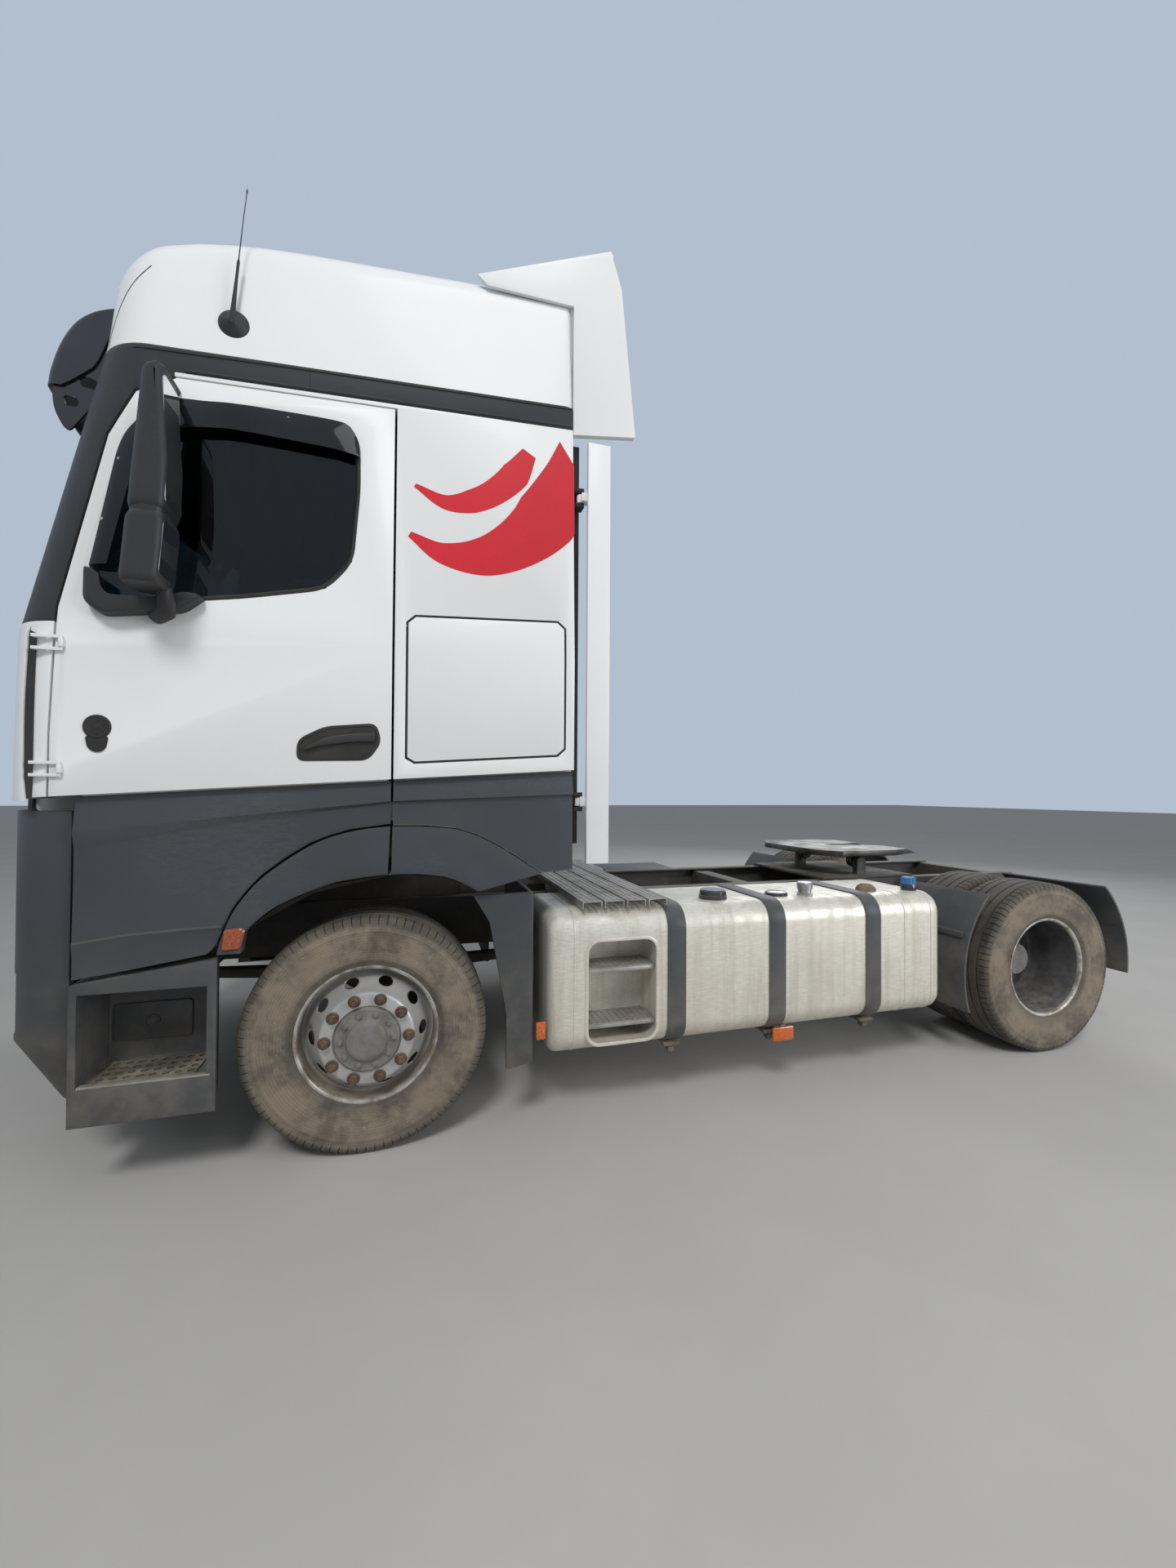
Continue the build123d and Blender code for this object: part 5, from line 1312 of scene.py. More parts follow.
class TRACTOR_OT_roof(bpy.types.Operator):
    """Make the high roof shell with its rounded edges, and dress the spoiler"""

    bl_idname = "tractor.roof"
    bl_label = "Roof"

    def execute(self, context):
        rounding = context.scene.tractor_fittings.roof_rounding * 1000
        self.make_shell(rounding)
        for label, side in BOTH:
            self.make_seams(label, side)
        refined("roof_spoiler", "White paint", "cab_white", 5.0, name="roof_spoiler_skin")
        return {"FINISHED"}

    def make_seams(self, label, side):
        """Fine joint lines of the roof moulding."""
        shape = Shape()
        front = smooth_line([(1000, 3300), (958, 3420), (905, 3520), (830, 3606)], 20)
        skin_strip(shape, front, [(-1.6, -2), (-1.6, 0.7), (1.6, 0.7), (1.6, -2)], closed=False)
        make("roof_seam_" + label, shape, "Seal rubber", "cab", side)

    def outline(self, z):
        """Left half of the plan at a height: from the rear middle round to the nose, with its edge rounding."""
        half, end = cab_level(z)
        rear, corner = -890, 45
        points = [(rear, half * t / 5, 0.35) for t in range(5)]
        points += [(rear, half - corner - 60, 0.4)]
        for step in range(5):
            angle = pi / 2 * step / 4
            points.append((rear + corner - corner * cos(angle), half - corner + corner * sin(angle),
                           0.4 + 0.6 * step / 4))
        points += [(rear + corner + (end - rear - corner) * step / 15, half, 1.0) for step in range(1, 15)]
        for step in range(13):
            angle = CORNER_TURN * step / 12
            points.append((end + CORNER_RADIUS * sin(angle), half - CORNER_RADIUS * (1 - cos(angle)), 1.0))
        last_x, last_y = points[-1][:2]
        for step in range(1, 13):
            y = last_y * (1 - step / 12)
            points.append((last_x + bowed(y, last_y, CORNER_TURN), y, 1.0))
        return points

    def make_shell(self, rounding):
        """Roof shell: columns from its foot over the rounded edge to its spine, closed by an inner skin."""
        middle_line = smooth_line([(-1100, 3975.6), (-890, 3960), (-200, 3909), (350, 3866), (620, 3823), (800, 3765),
                                   (930, 3692), (1030, 3604), (1105, 3505), (1160, 3390), (1190, 3290)], 90)
        foot_line = [(1400, 3253), (-900, 3363)]
        side_steps, edge_steps, top_steps = 6, 8, 11
        spine_rear, spine_front = -800, 640
        count = len(self.outline(3300))
        levels = [[] for _ in range(side_steps + 1 + edge_steps + top_steps)]
        for index in range(count):
            radius = rounding * self.outline(3500)[index][2]
            top = 3600.0
            for _ in range(6):
                x = self.outline(top)[index][0]
                top = line_at(middle_line, x) - radius
            foot = line_at(foot_line, x)
            top = max(top, foot + 12)
            column = []
            for step in range(side_steps + 1):
                z = foot + (top - foot) * step / side_steps
                column.append((*self.outline(z)[index][:2], z))
            plan = self.outline(top)
            low, high = plan[max(index - 1, 0)], plan[min(index + 1, count - 1)]
            run = Vector((high[0] - low[0], high[1] - low[1])).normalized()
            inward = Vector((run.y, -run.x))
            if index in (0, count - 1):
                inward = Vector((-1 if index else 1, 0))
            edge = Vector(column[-1][:2])
            for step in range(1, edge_steps + 1):
                angle = pi / 2 * step / edge_steps
                drawn = edge + inward * radius * (1 - cos(angle))
                lift = line_at(middle_line, drawn.x) - line_at(middle_line, edge.x)
                column.append((drawn.x, max(drawn.y, 0), top + radius * sin(angle) + lift))
            inner = Vector(column[-1][:2])
            spine = Vector((min(max(inner.x, spine_rear), spine_front), 0))
            for step in range(1, top_steps + 1):
                spot = inner.lerp(spine, step / top_steps)
                column.append((spot.x, spot.y, line_at(middle_line, spot.x)))
            for level, point in zip(levels, column):
                level.append(point)
        rings = [row + [(x, -y, z) for x, y, z in reversed(row[1:-1])] for row in levels]
        inner_rings = []
        centre_x, wall, ceiling = 100, 30, 26
        for number, row in enumerate(rings):
            drop = ceiling if number > side_steps else 0
            pulled = []
            for x, y, z in row:
                share = 1 - wall / max(hypot(x - centre_x, y), 2 * wall)
                pulled.append((centre_x + (x - centre_x) * share, y * share, z - drop))
            inner_rings.append(pulled)
        shape = Shape()
        outer, inner = ([shape.ring(row) for row in sheet] for sheet in (rings, inner_rings))
        for sheet in (outer, inner):
            for first, second in zip(sheet, sheet[1:]):
                shape.span(first, second)
        shape.span(outer[0], inner[0])
        make("cab_roof_skin", shape, "White paint", "cab", replaces=("cab_roof",), sharp=50)


class TRACTOR_OT_cab(bpy.types.Operator):
    """Dress the cab shell, doors, flaps, trim, front panel and side deflectors"""

    bl_idname = "tractor.cab"
    bl_label = "Cab and doors"

    def execute(self, context):
        rows = [  # node, finish, slot, rounding in millimetres
            ("cab_shell", "White paint", "cab_white", 4.0),
            ("cab_trim", "Trim plastic", "dark_plastic", 4.0),
            ("front_grille", "Trim plastic", "dark_plastic", 5.0),
            ("deflector_posts", "Seal rubber", "dark_plastic", 3.0),
            ("bumper", "Skirt plastic", "dark_plastic", 6.0),
            ("mudguards", "Skirt plastic", "dark_plastic", 5.0),
        ]
        for row in rows:
            refined(*row)
        self.make_grille_bars()
        for label, side in BOTH:
            refined("door_panel_" + label, "White paint", "cab_white", 4.0)
            refined("stowage_flap_" + label, "White paint", "cab_white", 4.0)
            refined("side_deflector_" + label, "White paint", "cab_white", 7.0, steps=3)
            self.make_flap_seal(label, side)
            self.make_door_handle(label, side)
            self.make_lock_cap(label, side)
            self.make_ribbons(label, side)
            self.make_trim_lips(label, side)
            self.make_corner_vane(label, side)
        return {"FINISHED"}

    def make_grille_bars(self):
        """Bowed horizontal bars over the front panel."""
        shape = Shape()
        steps, ahead = 32, 19
        for z, reach, high in ((1440, 840, 34), (1530, 830, 34), (1620, 820, 34), (1760, 860, 60), (1930, 860, 12)):
            rings = []
            for step in range(steps + 1):
                y = -reach + 2 * reach * step / steps
                x = screen(y, z) + ahead
                rings.append([(x, y, z - high / 2), (x + 5, y, z - high / 2 + 4), (x + 8, y, z),
                              (x + 5, y, z + high / 2 - 4), (x, y, z + high / 2)])
            shape.stack(rings)
        make("grille_bars", shape, "Skirt plastic", "cab", sharp=25)

    def make_flap_seal(self, label, side):
        """Sunk rubber in the joint round the stowage flap."""
        shape = Shape()
        outline = softened([(-145, 1685), (-145, 2266), (-178, 2296), (-802, 2324), (-838, 2294), (-838, 1741),
                            (-803, 1709), (-178, 1666)], 60, 5)
        path = even_line(outline + [outline[0]], 120, closed=True)
        skin_strip(shape, path, [(-3.0, -14), (-3.0, -3.0), (0, -1.6), (3.0, -3.0), (3.0, -14)])
        make("flap_seal_" + label, shape, "Seal rubber", "cab", side)

    def make_door_handle(self, label, side):
        """Dark cup in the door and the grip across it."""
        body = "door_" + label
        cup = softened([(277, 1664), (275, 1752), (172, 1809), (-26, 1829), (-48, 1750), (4, 1672)], 34, 5)
        inner = softened([(268, 1674), (264, 1746), (168, 1799), (-18, 1818), (-37, 1752), (10, 1682)], 30, 5)
        shape = Shape()
        shape.stack([laid(loop, proud) for loop, proud in ((cup, -4), (cup, 2.0), (inner, 4.5), (inner, 1.2))])
        make("handle_cup_" + label, shape, "Seal rubber", body, side, sharp=30)
        grip = Shape()
        top = smooth_line([(246, 1720), (170, 1762), (60, 1782), (-20, 1790)], 14)
        low = smooth_line([(246, 1706), (170, 1728), (60, 1744), (-20, 1748)], 14)
        door_y = CAB_LEVELS[0][1]
        grip.stack([[(x0, door_y + 2, z0), (x0, door_y + 15, z0 - 3), (x1, door_y + 19, (z0 + z1) / 2),
                     (x1, door_y + 15, z1 + 3), (x1, door_y + 2, z1)] for (x0, z0), (x1, z1) in zip(top, low)])
        make("handle_grip_" + label, grip, "Trim plastic", body, side, rounding=2.5, sharp=50)

    def make_lock_cap(self, label, side):
        """Round cap with six studs and a tab below it."""
        x, z = 949, 1778
        shape = Shape()
        shape.turned([(-4, 0.01), (-4, 45), (3, 45), (6, 42), (7, 36), (5.4, 34), (5.4, 12), (7, 10), (7.4, 0.01)],
                     (x, skin(x, z), z))
        for stud in range(6):
            angle = pi / 6 + stud * pi / 3
            stud_x, stud_z = x + 22 * cos(angle), z + 22 * sin(angle)
            shape.turned([(4, 0.01), (4, 6), (6.6, 6), (6.6, 0.01)], (stud_x, skin(stud_x, stud_z), stud_z), steps=12)
        tab = softened([(912, 1745), (986, 1745), (978, 1700), (958, 1684), (936, 1684), (920, 1700)], 14)
        skin_plate(shape, tab, -2, 4.5)
        make("lock_cap_" + label, shape, "Seal rubber", "door_" + label, side)

    def ribbon(self, shape, points, widths):
        """Tapering band on the cab's side along a smooth line, cut off at the cab's rear edge."""
        path = smooth_line(points, 60)
        rear_edge = -884
        upper, lower = [], []
        for index, (x, z) in enumerate(path):
            before, after = path[max(index - 1, 0)], path[min(index + 1, len(path) - 1)]
            run = (Vector(after) - Vector(before)).normalized()
            width = line_at(widths, index / (len(path) - 1)) / 2
            upper.append((max(x - run.y * width, rear_edge), z + run.x * width))
            lower.append((max(x + run.y * width, rear_edge), z - run.x * width))
        shape.shell([laid(between(upper, lower, share), 0.9) for share in (0, 0.5, 1)], behind(1.6))

    def make_ribbons(self, label, side):
        """Two red ribbons behind the door."""
        shape = Shape()
        self.ribbon(shape, [(-150, 2650), (-300, 2580), (-500, 2600), (-700, 2740), (-850, 2960), (-930, 3130)],
                    [(0, 26), (0.3, 170), (0.65, 290), (1.0, 250)])
        self.ribbon(shape, [(-170, 2870), (-310, 2812), (-460, 2856), (-590, 2965), (-672, 3100)],
                    [(0, 18), (0.4, 105), (0.8, 130), (1.0, 70)])
        make("side_ribbons_" + label, shape, "Ribbon red", "cab", side)

    def make_corner_vane(self, label, side):
        """White vane round the front corner with a dark slot behind it."""
        slot = Shape()
        left = smooth_line([(1174, 2128), (1186, 1987), (1191, 1842), (1187, 1626), (1181, 1568), (1170, 1512)], 24)
        right = smooth_line([(1146, 2114), (1148, 1990), (1150, 1844), (1149, 1627), (1149, 1554), (1151, 1516)], 24)
        skin_plate(slot, left + right[::-1], -2, 5.0)
        make("corner_slot_" + label, slot, "Seal rubber", "cab", side)
        vane = Shape()
        rear = smooth_line([(1172, 2142), (1181, 1987), (1186, 1842), (1182, 1626), (1177, 1568), (1168, 1502)], 24)
        front = 1266
        rows, backs = [], []
        for share, proud in ((0, 6), (0.03, 12), (0.1, 14), (0.35, 13), (0.7, 9), (0.95, 3), (1, 1)):
            row = [(x + (front - x) * share, z) for x, z in rear]
            rows.append(laid(row, proud))
            backs.append(laid(row, min(proud - 3, 4)))
        vane.shell(rows, backs)
        make("corner_vane_" + label, vane, "White paint", "cab", side, sharp=50)

    def make_trim_lips(self, label, side):
        """Rain rail under the roof band, and the seam between pillar and band."""
        rail = Shape()
        path = smooth_line([(700, 3196), (300, 3214), (-300, 3239), (-878, 3264)], 40)
        skin_strip(rail, path, [(-7, -3), (-6, 4), (0, 7), (6, 4), (7, -3)], closed=False)
        upper = smooth_line([(880, 3262), (300, 3296), (-300, 3325), (-878, 3352)], 40)
        skin_strip(rail, upper, [(-4, -3), (-3, 3), (3, 3), (4, -3)], closed=False)
        make("roof_rail_" + label, rail, "Trim plastic", "cab", side, sharp=60)
        seam = Shape()
        skin_strip(seam, [(250, 3222), (252, 3250), (254, 3290)], [(-1.5, -2), (-1.5, 0.8), (1.5, 0.8), (1.5, -2)],
                   closed=False)
        make("band_seam_" + label, seam, "Seal rubber", "cab", side)


class TRACTOR_OT_windows(bpy.types.Operator):
    """Dress the glass and make seals, wind deflectors and wipers"""

    bl_idname = "tractor.windows"
    bl_label = "Windows"

    def execute(self, context):
        width = context.scene.tractor_fittings.seal_width * 1000
        refined("windscreen", "Window glass", "window_glass", 0)
        for label, side in BOTH:
            refined("door_glass_" + label, "Window glass", "window_glass", 0)
            self.make_seal(label, side, width)
            self.make_deflector(label, side)
        self.make_wipers()
        return {"FINISHED"}

    def make_seal(self, label, side, width):
        """Rubber frame round the door's window."""
        outline = softened([(985, 2360), (905, 2870), (760, 3070), (490, 3095), (150, 3095), (60, 3010), (55, 2820),
                            (78, 2500), (178, 2375), (479, 2310), (760, 2265), (960, 2255)], 60, 5)
        path = even_line(outline + [outline[0]], 150, closed=True)
        shape = Shape()
        half = width / 2
        skin_strip(shape, path, [(-half, -20), (-half, -1), (-half + 3, 2.5), (half - 3, 2.5), (half, -2),
                                 (half + 8, -15), (half + 8, -20)])
        make("window_seal_" + label, shape, "Seal rubber", "door_" + label, side, sharp=50)

    def make_deflector(self, label, side):
        """Smoked wind deflector over the window, and its clips."""
        outer = smooth_line([(988, 2380), (944, 2640), (908, 2862), (850, 2975), (760, 3068), (620, 3088), (490, 3098),
                             (150, 3098), (85, 3068), (56, 3008), (52, 2960)], 60)
        inner = smooth_line([(925, 2385), (878, 2640), (835, 2830), (780, 2905), (700, 2952), (600, 2972), (490, 2978),
                             (180, 2966), (110, 2958), (75, 2952), (56, 2948)], 60)
        shape = Shape()
        profile = ((0, 3.5), (0.12, 8), (0.3, 14), (0.62, 20), (1.0, 23))  # share of the width, height
        shape.shell([laid(between(outer, inner, share), proud) for share, proud in profile], behind(3))
        make("wind_deflector_" + label, shape, "Smoked visor", "door_" + label, side, sharp=50)
        clips = Shape()
        for x, z in ((952, 2560), (905, 2800), (700, 3050), (330, 3070), (72, 2985)):
            clips.turned([(8, 0.01), (8, 7), (11, 6), (12, 0.01)], (x, skin(x, z), z), steps=14)
        make("deflector_clips_" + label, clips, "Bright steel", "door_" + label, side)

    def make_wipers(self):
        """Three arms from the foot of the screen, each with its blade."""
        shape = Shape()
        blade_length, blade_rise = 520, 30
        for foot, tip, low, high in ((860, 420, 2150, 2290), (180, -160, 2150, 2290), (-440, -700, 2150, 2310)):
            path = []
            for step in range(9):
                t = step / 8
                y, z = foot + (tip - foot) * t, low + (high - low) * t
                path.append((screen(y, z) + 8 + 10 * sin(pi * t), y, z))
            shape.tube(path, [9, 8, 7.5, 7, 6.5, 6, 5.5, 5, 5])
            blade = []
            for step in range(13):
                t = step / 12 - 0.5
                y, z = tip + blade_length * t, high + blade_rise * t
                blade.append((screen(y, z) + 4, y, z))
            shape.tube(blade, 5.5, sides=6)
        make("screen_wipers", shape, "Seal rubber", "cab")


class TRACTOR_OT_skirts(bpy.types.Operator):
    """Make the creased door skirts, rear skirts, arch bands, markers and reflectors"""

    bl_idname = "tractor.skirts"
    bl_label = "Skirts"

    def execute(self, context):
        for label, side in BOTH:
            self.make_door_skirt(label, side)
            self.make_rear_skirt(label, side)
            self.make_arch_band(label, side)
            self.make_markers(label, side)
        self.make_liner()
        return {"FINISHED"}

    def panel(self, low_x, high_x, floor_line, creased):
        """Skirt panel: columns along x, with its creases between belt and lower edge."""
        belt = [(1115, 1512), (-890, 1642)]
        ridge = [(1038, 1383), (541, 1443), (-84, 1507), (-869, 1540)]
        under = [(1038, 1321), (541, 1408), (-84, 1490), (-869, 1532)]
        fold = [(1032, 975), (857, 999), (659, 1010), (400, 1016)]
        fold_under = [(1032, 925), (857, 960), (659, 985), (400, 1010)]
        rows = [[] for _ in range(12)]
        steps = 64
        for step in range(steps + 1):
            x = low_x + (high_x - low_x) * step / steps
            top, edge, low = line_at(belt, x), line_at(ridge, x), line_at(under, x)
            floor = line_at(floor_line, x)
            crease = line_at(fold, x) if creased else floor + 1
            second = line_at(fold_under, x) if creased else floor + 0.5
            marks = [(top, 1210), (top - 5, 1216), ((top + edge) / 2, 1226), (edge + 4, 1236), (edge - 4, 1237),
                     (low + 6, 1225), (low - 8, 1223), ((low + crease) / 2, 1224), (crease + 4, 1228),
                     (crease - 4, 1234), (second, 1226), (floor, 1224)]
            for row, (z, y) in zip(rows, marks):
                row.append((x, y, max(z, floor)))
        shape = Shape()
        shape.shell(rows, behind(18, 1225))
        return shape

    def make_door_skirt(self, label, side):
        """Skirt on the door, with the arch cut from its rear and a fold at its foot."""
        floor_line = [(1025, 841), (829, 868), (590, 906), (563, 930), (501, 1084), (452, 1150), (402, 1208),
                      (320, 1272), (226, 1333), (150, 1364), (73, 1387), (-85, 1408)]
        shape = self.panel(-85, 1025, floor_line, True)
        make("door_skirt_skin_" + label, shape, "Skirt plastic", "door_" + label, side,
             replaces=("door_skirt_" + label,), sharp=28)

    def make_rear_skirt(self, label, side):
        """Skirt behind the door, above the arch."""
        floor_line = [(-95, 1402), (-230, 1400), (-360, 1386), (-450, 1356), (-536, 1312), (-640, 1246), (-738, 1180),
                      (-880, 1192)]
        shape = self.panel(-880, -95, floor_line, False)
        make("rear_skirt_skin_" + label, shape, "Skirt plastic", "cab", side, sharp=28)

    def make_arch_band(self, label, side):
        """Raised band round the wheel arch, parted at the door's rear edge."""
        outer = smooth_line([(556, 903), (540, 965), (495, 1076), (396, 1200), (220, 1325), (67, 1379), (-92, 1398),
                             (-240, 1396), (-360, 1384), (-450, 1354), (-536, 1310), (-640, 1244), (-738, 1178)], 96)
        inner = smooth_line([(468, 905), (462, 950), (445, 998), (337, 1085), (158, 1159), (30, 1183), (-87, 1193),
                             (-200, 1190), (-293, 1179), (-330, 1168), (-362, 1156), (-405, 1134), (-449, 1108)], 96)
        profile = ((0.0, 1222), (0.015, 1230), (0.05, 1232), (0.35, 1234), (0.7, 1238), (0.93, 1241), (0.985, 1238),
                   (1.0, 1230), (1.005, 1200))  # share of the width, distance from the middle plane
        for part, cut, way in (("front", -84, 1), ("rear", -90, -1)):
            far, near = ([(x, z) if x * way > cut * way else (cut, line_at(line, cut)) for x, z in line]
                         for line in (outer, inner))
            pairs = [pair for pair in zip(far, near) if max(pair[0][0] * way, pair[1][0] * way) > cut * way]
            far, near = zip(*pairs)
            shape = Shape()
            shape.shell([[(x, y, z) for x, z in between(far, near, share)] for share, y in profile], behind(16, 1226))
            make(f"arch_band_{part}_{label}", shape, "Skirt plastic", "cab", side, sharp=32)

    def make_liner(self):
        """Arch liner over the front wheels and the feet on the floor pan."""
        refined("cab_skirts", "Seal rubber", "dark_plastic", 0, name="arch_liner",
                wanted=lambda centre: abs(centre.y) < 1.2045)

    def make_markers(self, label, side):
        """Side marker before the arch, and the reflectors: under the tank's strap, or on the battery box."""
        marker = Shape()
        outline = softened([(536, 918), (528, 1000), (470, 1006), (452, 996), (470, 922)], 12)
        small = between(outline, [(500, 958)] * len(outline), 0.14)
        marker.stack([[(x, y, z) for x, z in loop] for loop, y in ((outline, 1234), (outline, 1242), (small, 1247))])
        make("side_marker_" + label, marker, "Orange marker", "cab", side, sharp=30)
        middle_z, stay_rear = (300, -762) if side > 0 else (455, -806)
        for name, centre, y, size in (("reflector_front_", (-741, 462), 1216, (42, 78)),
                                      ("reflector_middle_", (-2025, middle_z), 1196, (122, 70))):
            plate = Shape()
            plate.lens(centre, size, 6, 3, (y - 8, y, y + 3))
            make(name + label, plate, "Amber lens", "chassis", side)
        stay = Shape()
        if side > 0:
            stay.slab((-2040, -2010), (1180, 1192), (296, 345))
        stay.slab((stay_rear, -720), (1198, 1209), (440, 485))
        make("reflector_stays_" + label, stay, "Frame paint", "chassis", side, rounding=1.5)


class TRACTOR_OT_mirrors(bpy.types.Operator):
    """Make the two-part mirror housings, arms, bases and glasses"""

    bl_idname = "tractor.mirrors"
    bl_label = "Mirrors"

    def execute(self, context):
        for label, side in BOTH:
            self.make_mirror(label, side)
        return {"FINISHED"}

    def section(self, z, grow=0.0):
        """Plan outline of the housing at a height: rounded in front, flat behind."""
        front = line_at([(2270, 818), (3034, 758), (3052, 752)], z) + grow
        rear = line_at(MIRROR_REAR, z) - grow
        low_y, high_y = 1292 - grow, 1468 + grow
        outline = []
        corners = ((front, high_y, -1, -1, 58), (rear, high_y, 1, -1, 22), (rear, low_y, 1, 1, 22),
                   (front, low_y, -1, 1, 52))
        for number, (x, y, sx, sy, radius) in enumerate(corners):
            for step in range(9):
                angle = pi / 2 * (number + step / 8)
                outline.append((x + sx * radius + radius * cos(angle), y + sy * radius + radius * sin(angle)))
        return outline

    def housing(self, low, high, grow):
        """Closed housing between two heights with rounded ends."""
        end = 34  # height over which an end is rounded
        levels = [(low + end * (1 - cos(t)), 1 - 0.34 * end / 60 * (1 - sin(t))) for t in
                  [pi / 2 * s / 6 for s in range(7)]]
        middle = [(low + end + (high - low - 2 * end) * s / 6, 1.0) for s in range(1, 6)]
        upper = [(low + high - z, share) for z, share in reversed(levels)]
        rings = []
        for z, share in levels + middle + upper:
            outline = self.section(z, grow)
            cx, cy = (sum(p[axis] for p in outline) / len(outline) for axis in (0, 1))
            rings.append([(cx + (x - cx) * share, cy + (y - cy) * share, z) for x, y in outline])
        shape = Shape()
        shape.stack(rings)
        return shape

    def make_mirror(self, label, side):
        """Two housings with their core, arms, base and glass."""
        body = "door_" + label
        make("mirror_upper_" + label, self.housing(2531, 3052, 0.0), "Trim plastic", body, side,
             replaces=("mirror_" + label,), sharp=50)
        make("mirror_lower_" + label, self.housing(2272, 2524, 1.5), "Trim plastic", body, side,
             sharp=50)
        core = Shape()
        core.stack([[(x, y, z) for x, y in self.section(z, -6)] for z in (2500, 2560)])
        core.tube([(712, 1330, 2290), (708, 1320, 2240), (720, 1290, 2215), (760, 1250, 2212)], [26, 30, 34, 36],
                  sides=16)
        core.tube([(735, 1390, 3040), (733, 1372, 3086), (731, 1330, 3103), (731, 1250, 3106), (731, 1196, 3104)],
                  [15, 16, 16, 15, 17], sides=14)
        make("mirror_arms_" + label, core, "Trim plastic", body, side, sharp=50)
        base = Shape()
        outline = softened([(990, 2366), (988, 2236), (930, 2188), (672, 2224), (600, 2288), (640, 2300), (760, 2262),
                            (930, 2262), (960, 2300), (966, 2360)], 26, 5)
        middle_x, middle_z, front_limit = 800, 2250, 1050
        rings = []
        for proud, share in ((-6, 1.0), (22, 1.0), (40, 0.985), (52, 0.95), (60, 0.88), (63, 0.78)):
            loop = [(middle_x + (x - middle_x) * share, middle_z + (z - middle_z) * share) for x, z in outline]
            rings.append([(x, skin(min(x, front_limit), z) + proud, z) for x, z in loop])
        base.stack(rings)
        make("mirror_base_" + label, base, "Trim plastic", body, side, sharp=40)
        glass = Shape()
        for low, high in ((2560, 3018), (2306, 2498)):
            outline = rounded_at(1380, (low + high) / 2, 148, high - low, 20)
            glass.stack([[(line_at(MIRROR_REAR, z) + back, y, z) for y, z in outline] for back in (-2.5, 1.0)])
        make("mirror_glass_" + label, glass, "Mirror glass", body, side)


class TRACTOR_OT_visor(bpy.types.Operator):
    """Make the bowed sun visor with its pierced cheeks, and the aerial"""

    bl_idname = "tractor.visor"
    bl_label = "Visor and aerial"

    def execute(self, context):
        self.make_shield()
        self.make_cheeks()
        self.make_aerial(context.scene.tractor_fittings.aerial_radius * 1000)
        return {"FINISHED"}

    def make_shield(self):
        """Bowed shield that wraps round at its ends: far at the top, a narrow strip at the bottom."""
        line = smooth_line([(1141, 3556), (1172, 3548), (1225, 3522), (1279, 3470), (1325, 3380), (1356, 3270),
                            (1366, 3196)], 26)
        wrap = [(3560, 1030), (3459, 1045), (3377, 1073), (3318, 1095), (3288, 1112), (3239, 1165), (3213, 1195),
                (3190, 1228)]  # height, rear end of the wrapped part
        front, bow, half_width, corner = 1140, 4600, 917, 40
        rows, backs = [], []
        for x, z in line:
            radius = bow + x - front
            turn = atan2(half_width, radius)
            for _ in range(3):
                turn = asin((half_width + corner * sin(turn)) / radius)
            half = [(front - bow + radius * cos(turn * s / 22), radius * sin(turn * s / 22), turn * s / 22)
                    for s in range(23)]
            centre_x = half[-1][0] - corner * cos(turn)
            centre_y = half[-1][1] - corner * sin(turn)
            for step in range(1, 8):
                angle = turn + (pi / 2 - turn) * step / 7
                half.append((centre_x + corner * cos(angle), centre_y + corner * sin(angle), angle))
            rear = min(line_at(wrap, z), centre_x - 3)
            for step in range(1, 9):
                half.append((centre_x + (rear - centre_x) * step / 8, centre_y + corner, pi / 2))
            whole = [(px, -py, -angle) for px, py, angle in reversed(half[1:])] + half
            rows.append([(px, py, z) for px, py, angle in whole])
            backs.append([(px - 6 * cos(angle), py - 6 * sin(angle), z - 4 * cos(angle)) for px, py, angle in whole])
        shape = Shape()
        shape.shell(rows, backs)
        make("sun_visor_shield", shape, "Visor plastic", "cab", replaces=("sun_visor",), sharp=50)
        stays = Shape()
        for y in (455, -455):
            stays.slab((1075, 1330), (y - 13, y + 13), (3262, 3288))
        make("visor_stays", stays, "Gloss black", "cab", rounding=3)

    def make_cheeks(self):
        """Cheeks below and behind the shield's ends with two openings, cut as a filled flat curve."""
        outer = softened([(1042, 3520), (1120, 3500), (1180, 3430), (1225, 3300), (1254, 3190), (1246, 3096),
                          (1199, 3004), (1110, 3140), (1012, 3300)], 40, 5)
        upper = softened([(1164, 3238), (1136, 3255), (1094, 3234), (1098, 3200), (1152, 3208)], 10, 4)
        lower = softened([(1214, 3158), (1185, 3166), (1160, 3146), (1165, 3120), (1206, 3118)], 10, 4)
        for label, side in BOTH:
            mesh = flat_plate((outer, upper, lower), 0.010)
            mesh.transform(Matrix(((1, 0, 0, AXLE_X), (0, 0, 1, side * 0.942), (0, 1, 0, 0), (0, 0, 0, 1))))
            wrap_mesh("visor_cheek_" + label, mesh, "Gloss black", "cab")

    def make_aerial(self, radius):
        """Foot on the cab's left side and a thin mast that leans back."""
        x, z = 538, 3430
        y = skin(x, z)
        shape = Shape()
        shape.turned([(-6, 0.01), (-6, 56), (2, 57), (8, 52), (15, 38), (24, 20), (30, 13), (31, 0.01)], (x, y, z),
                     steps=40)
        mast = [(0, 18, 10), (4, 24, 60), (14, 26, 170), (20, 26, 240), (21, 26, 250), (34, 26, 400), (46, 26, 520),
                (47, 26, 532), (49, 26, 545)]  # back, out and up from the foot
        shape.tube([(x - back, y + out, z + up) for back, out, up in mast],
                   [13, 9, radius, radius, 2.4, 1.8, 1.6, 3.4, 1.2])
        make("aerial", shape, "Trim plastic", "cab")


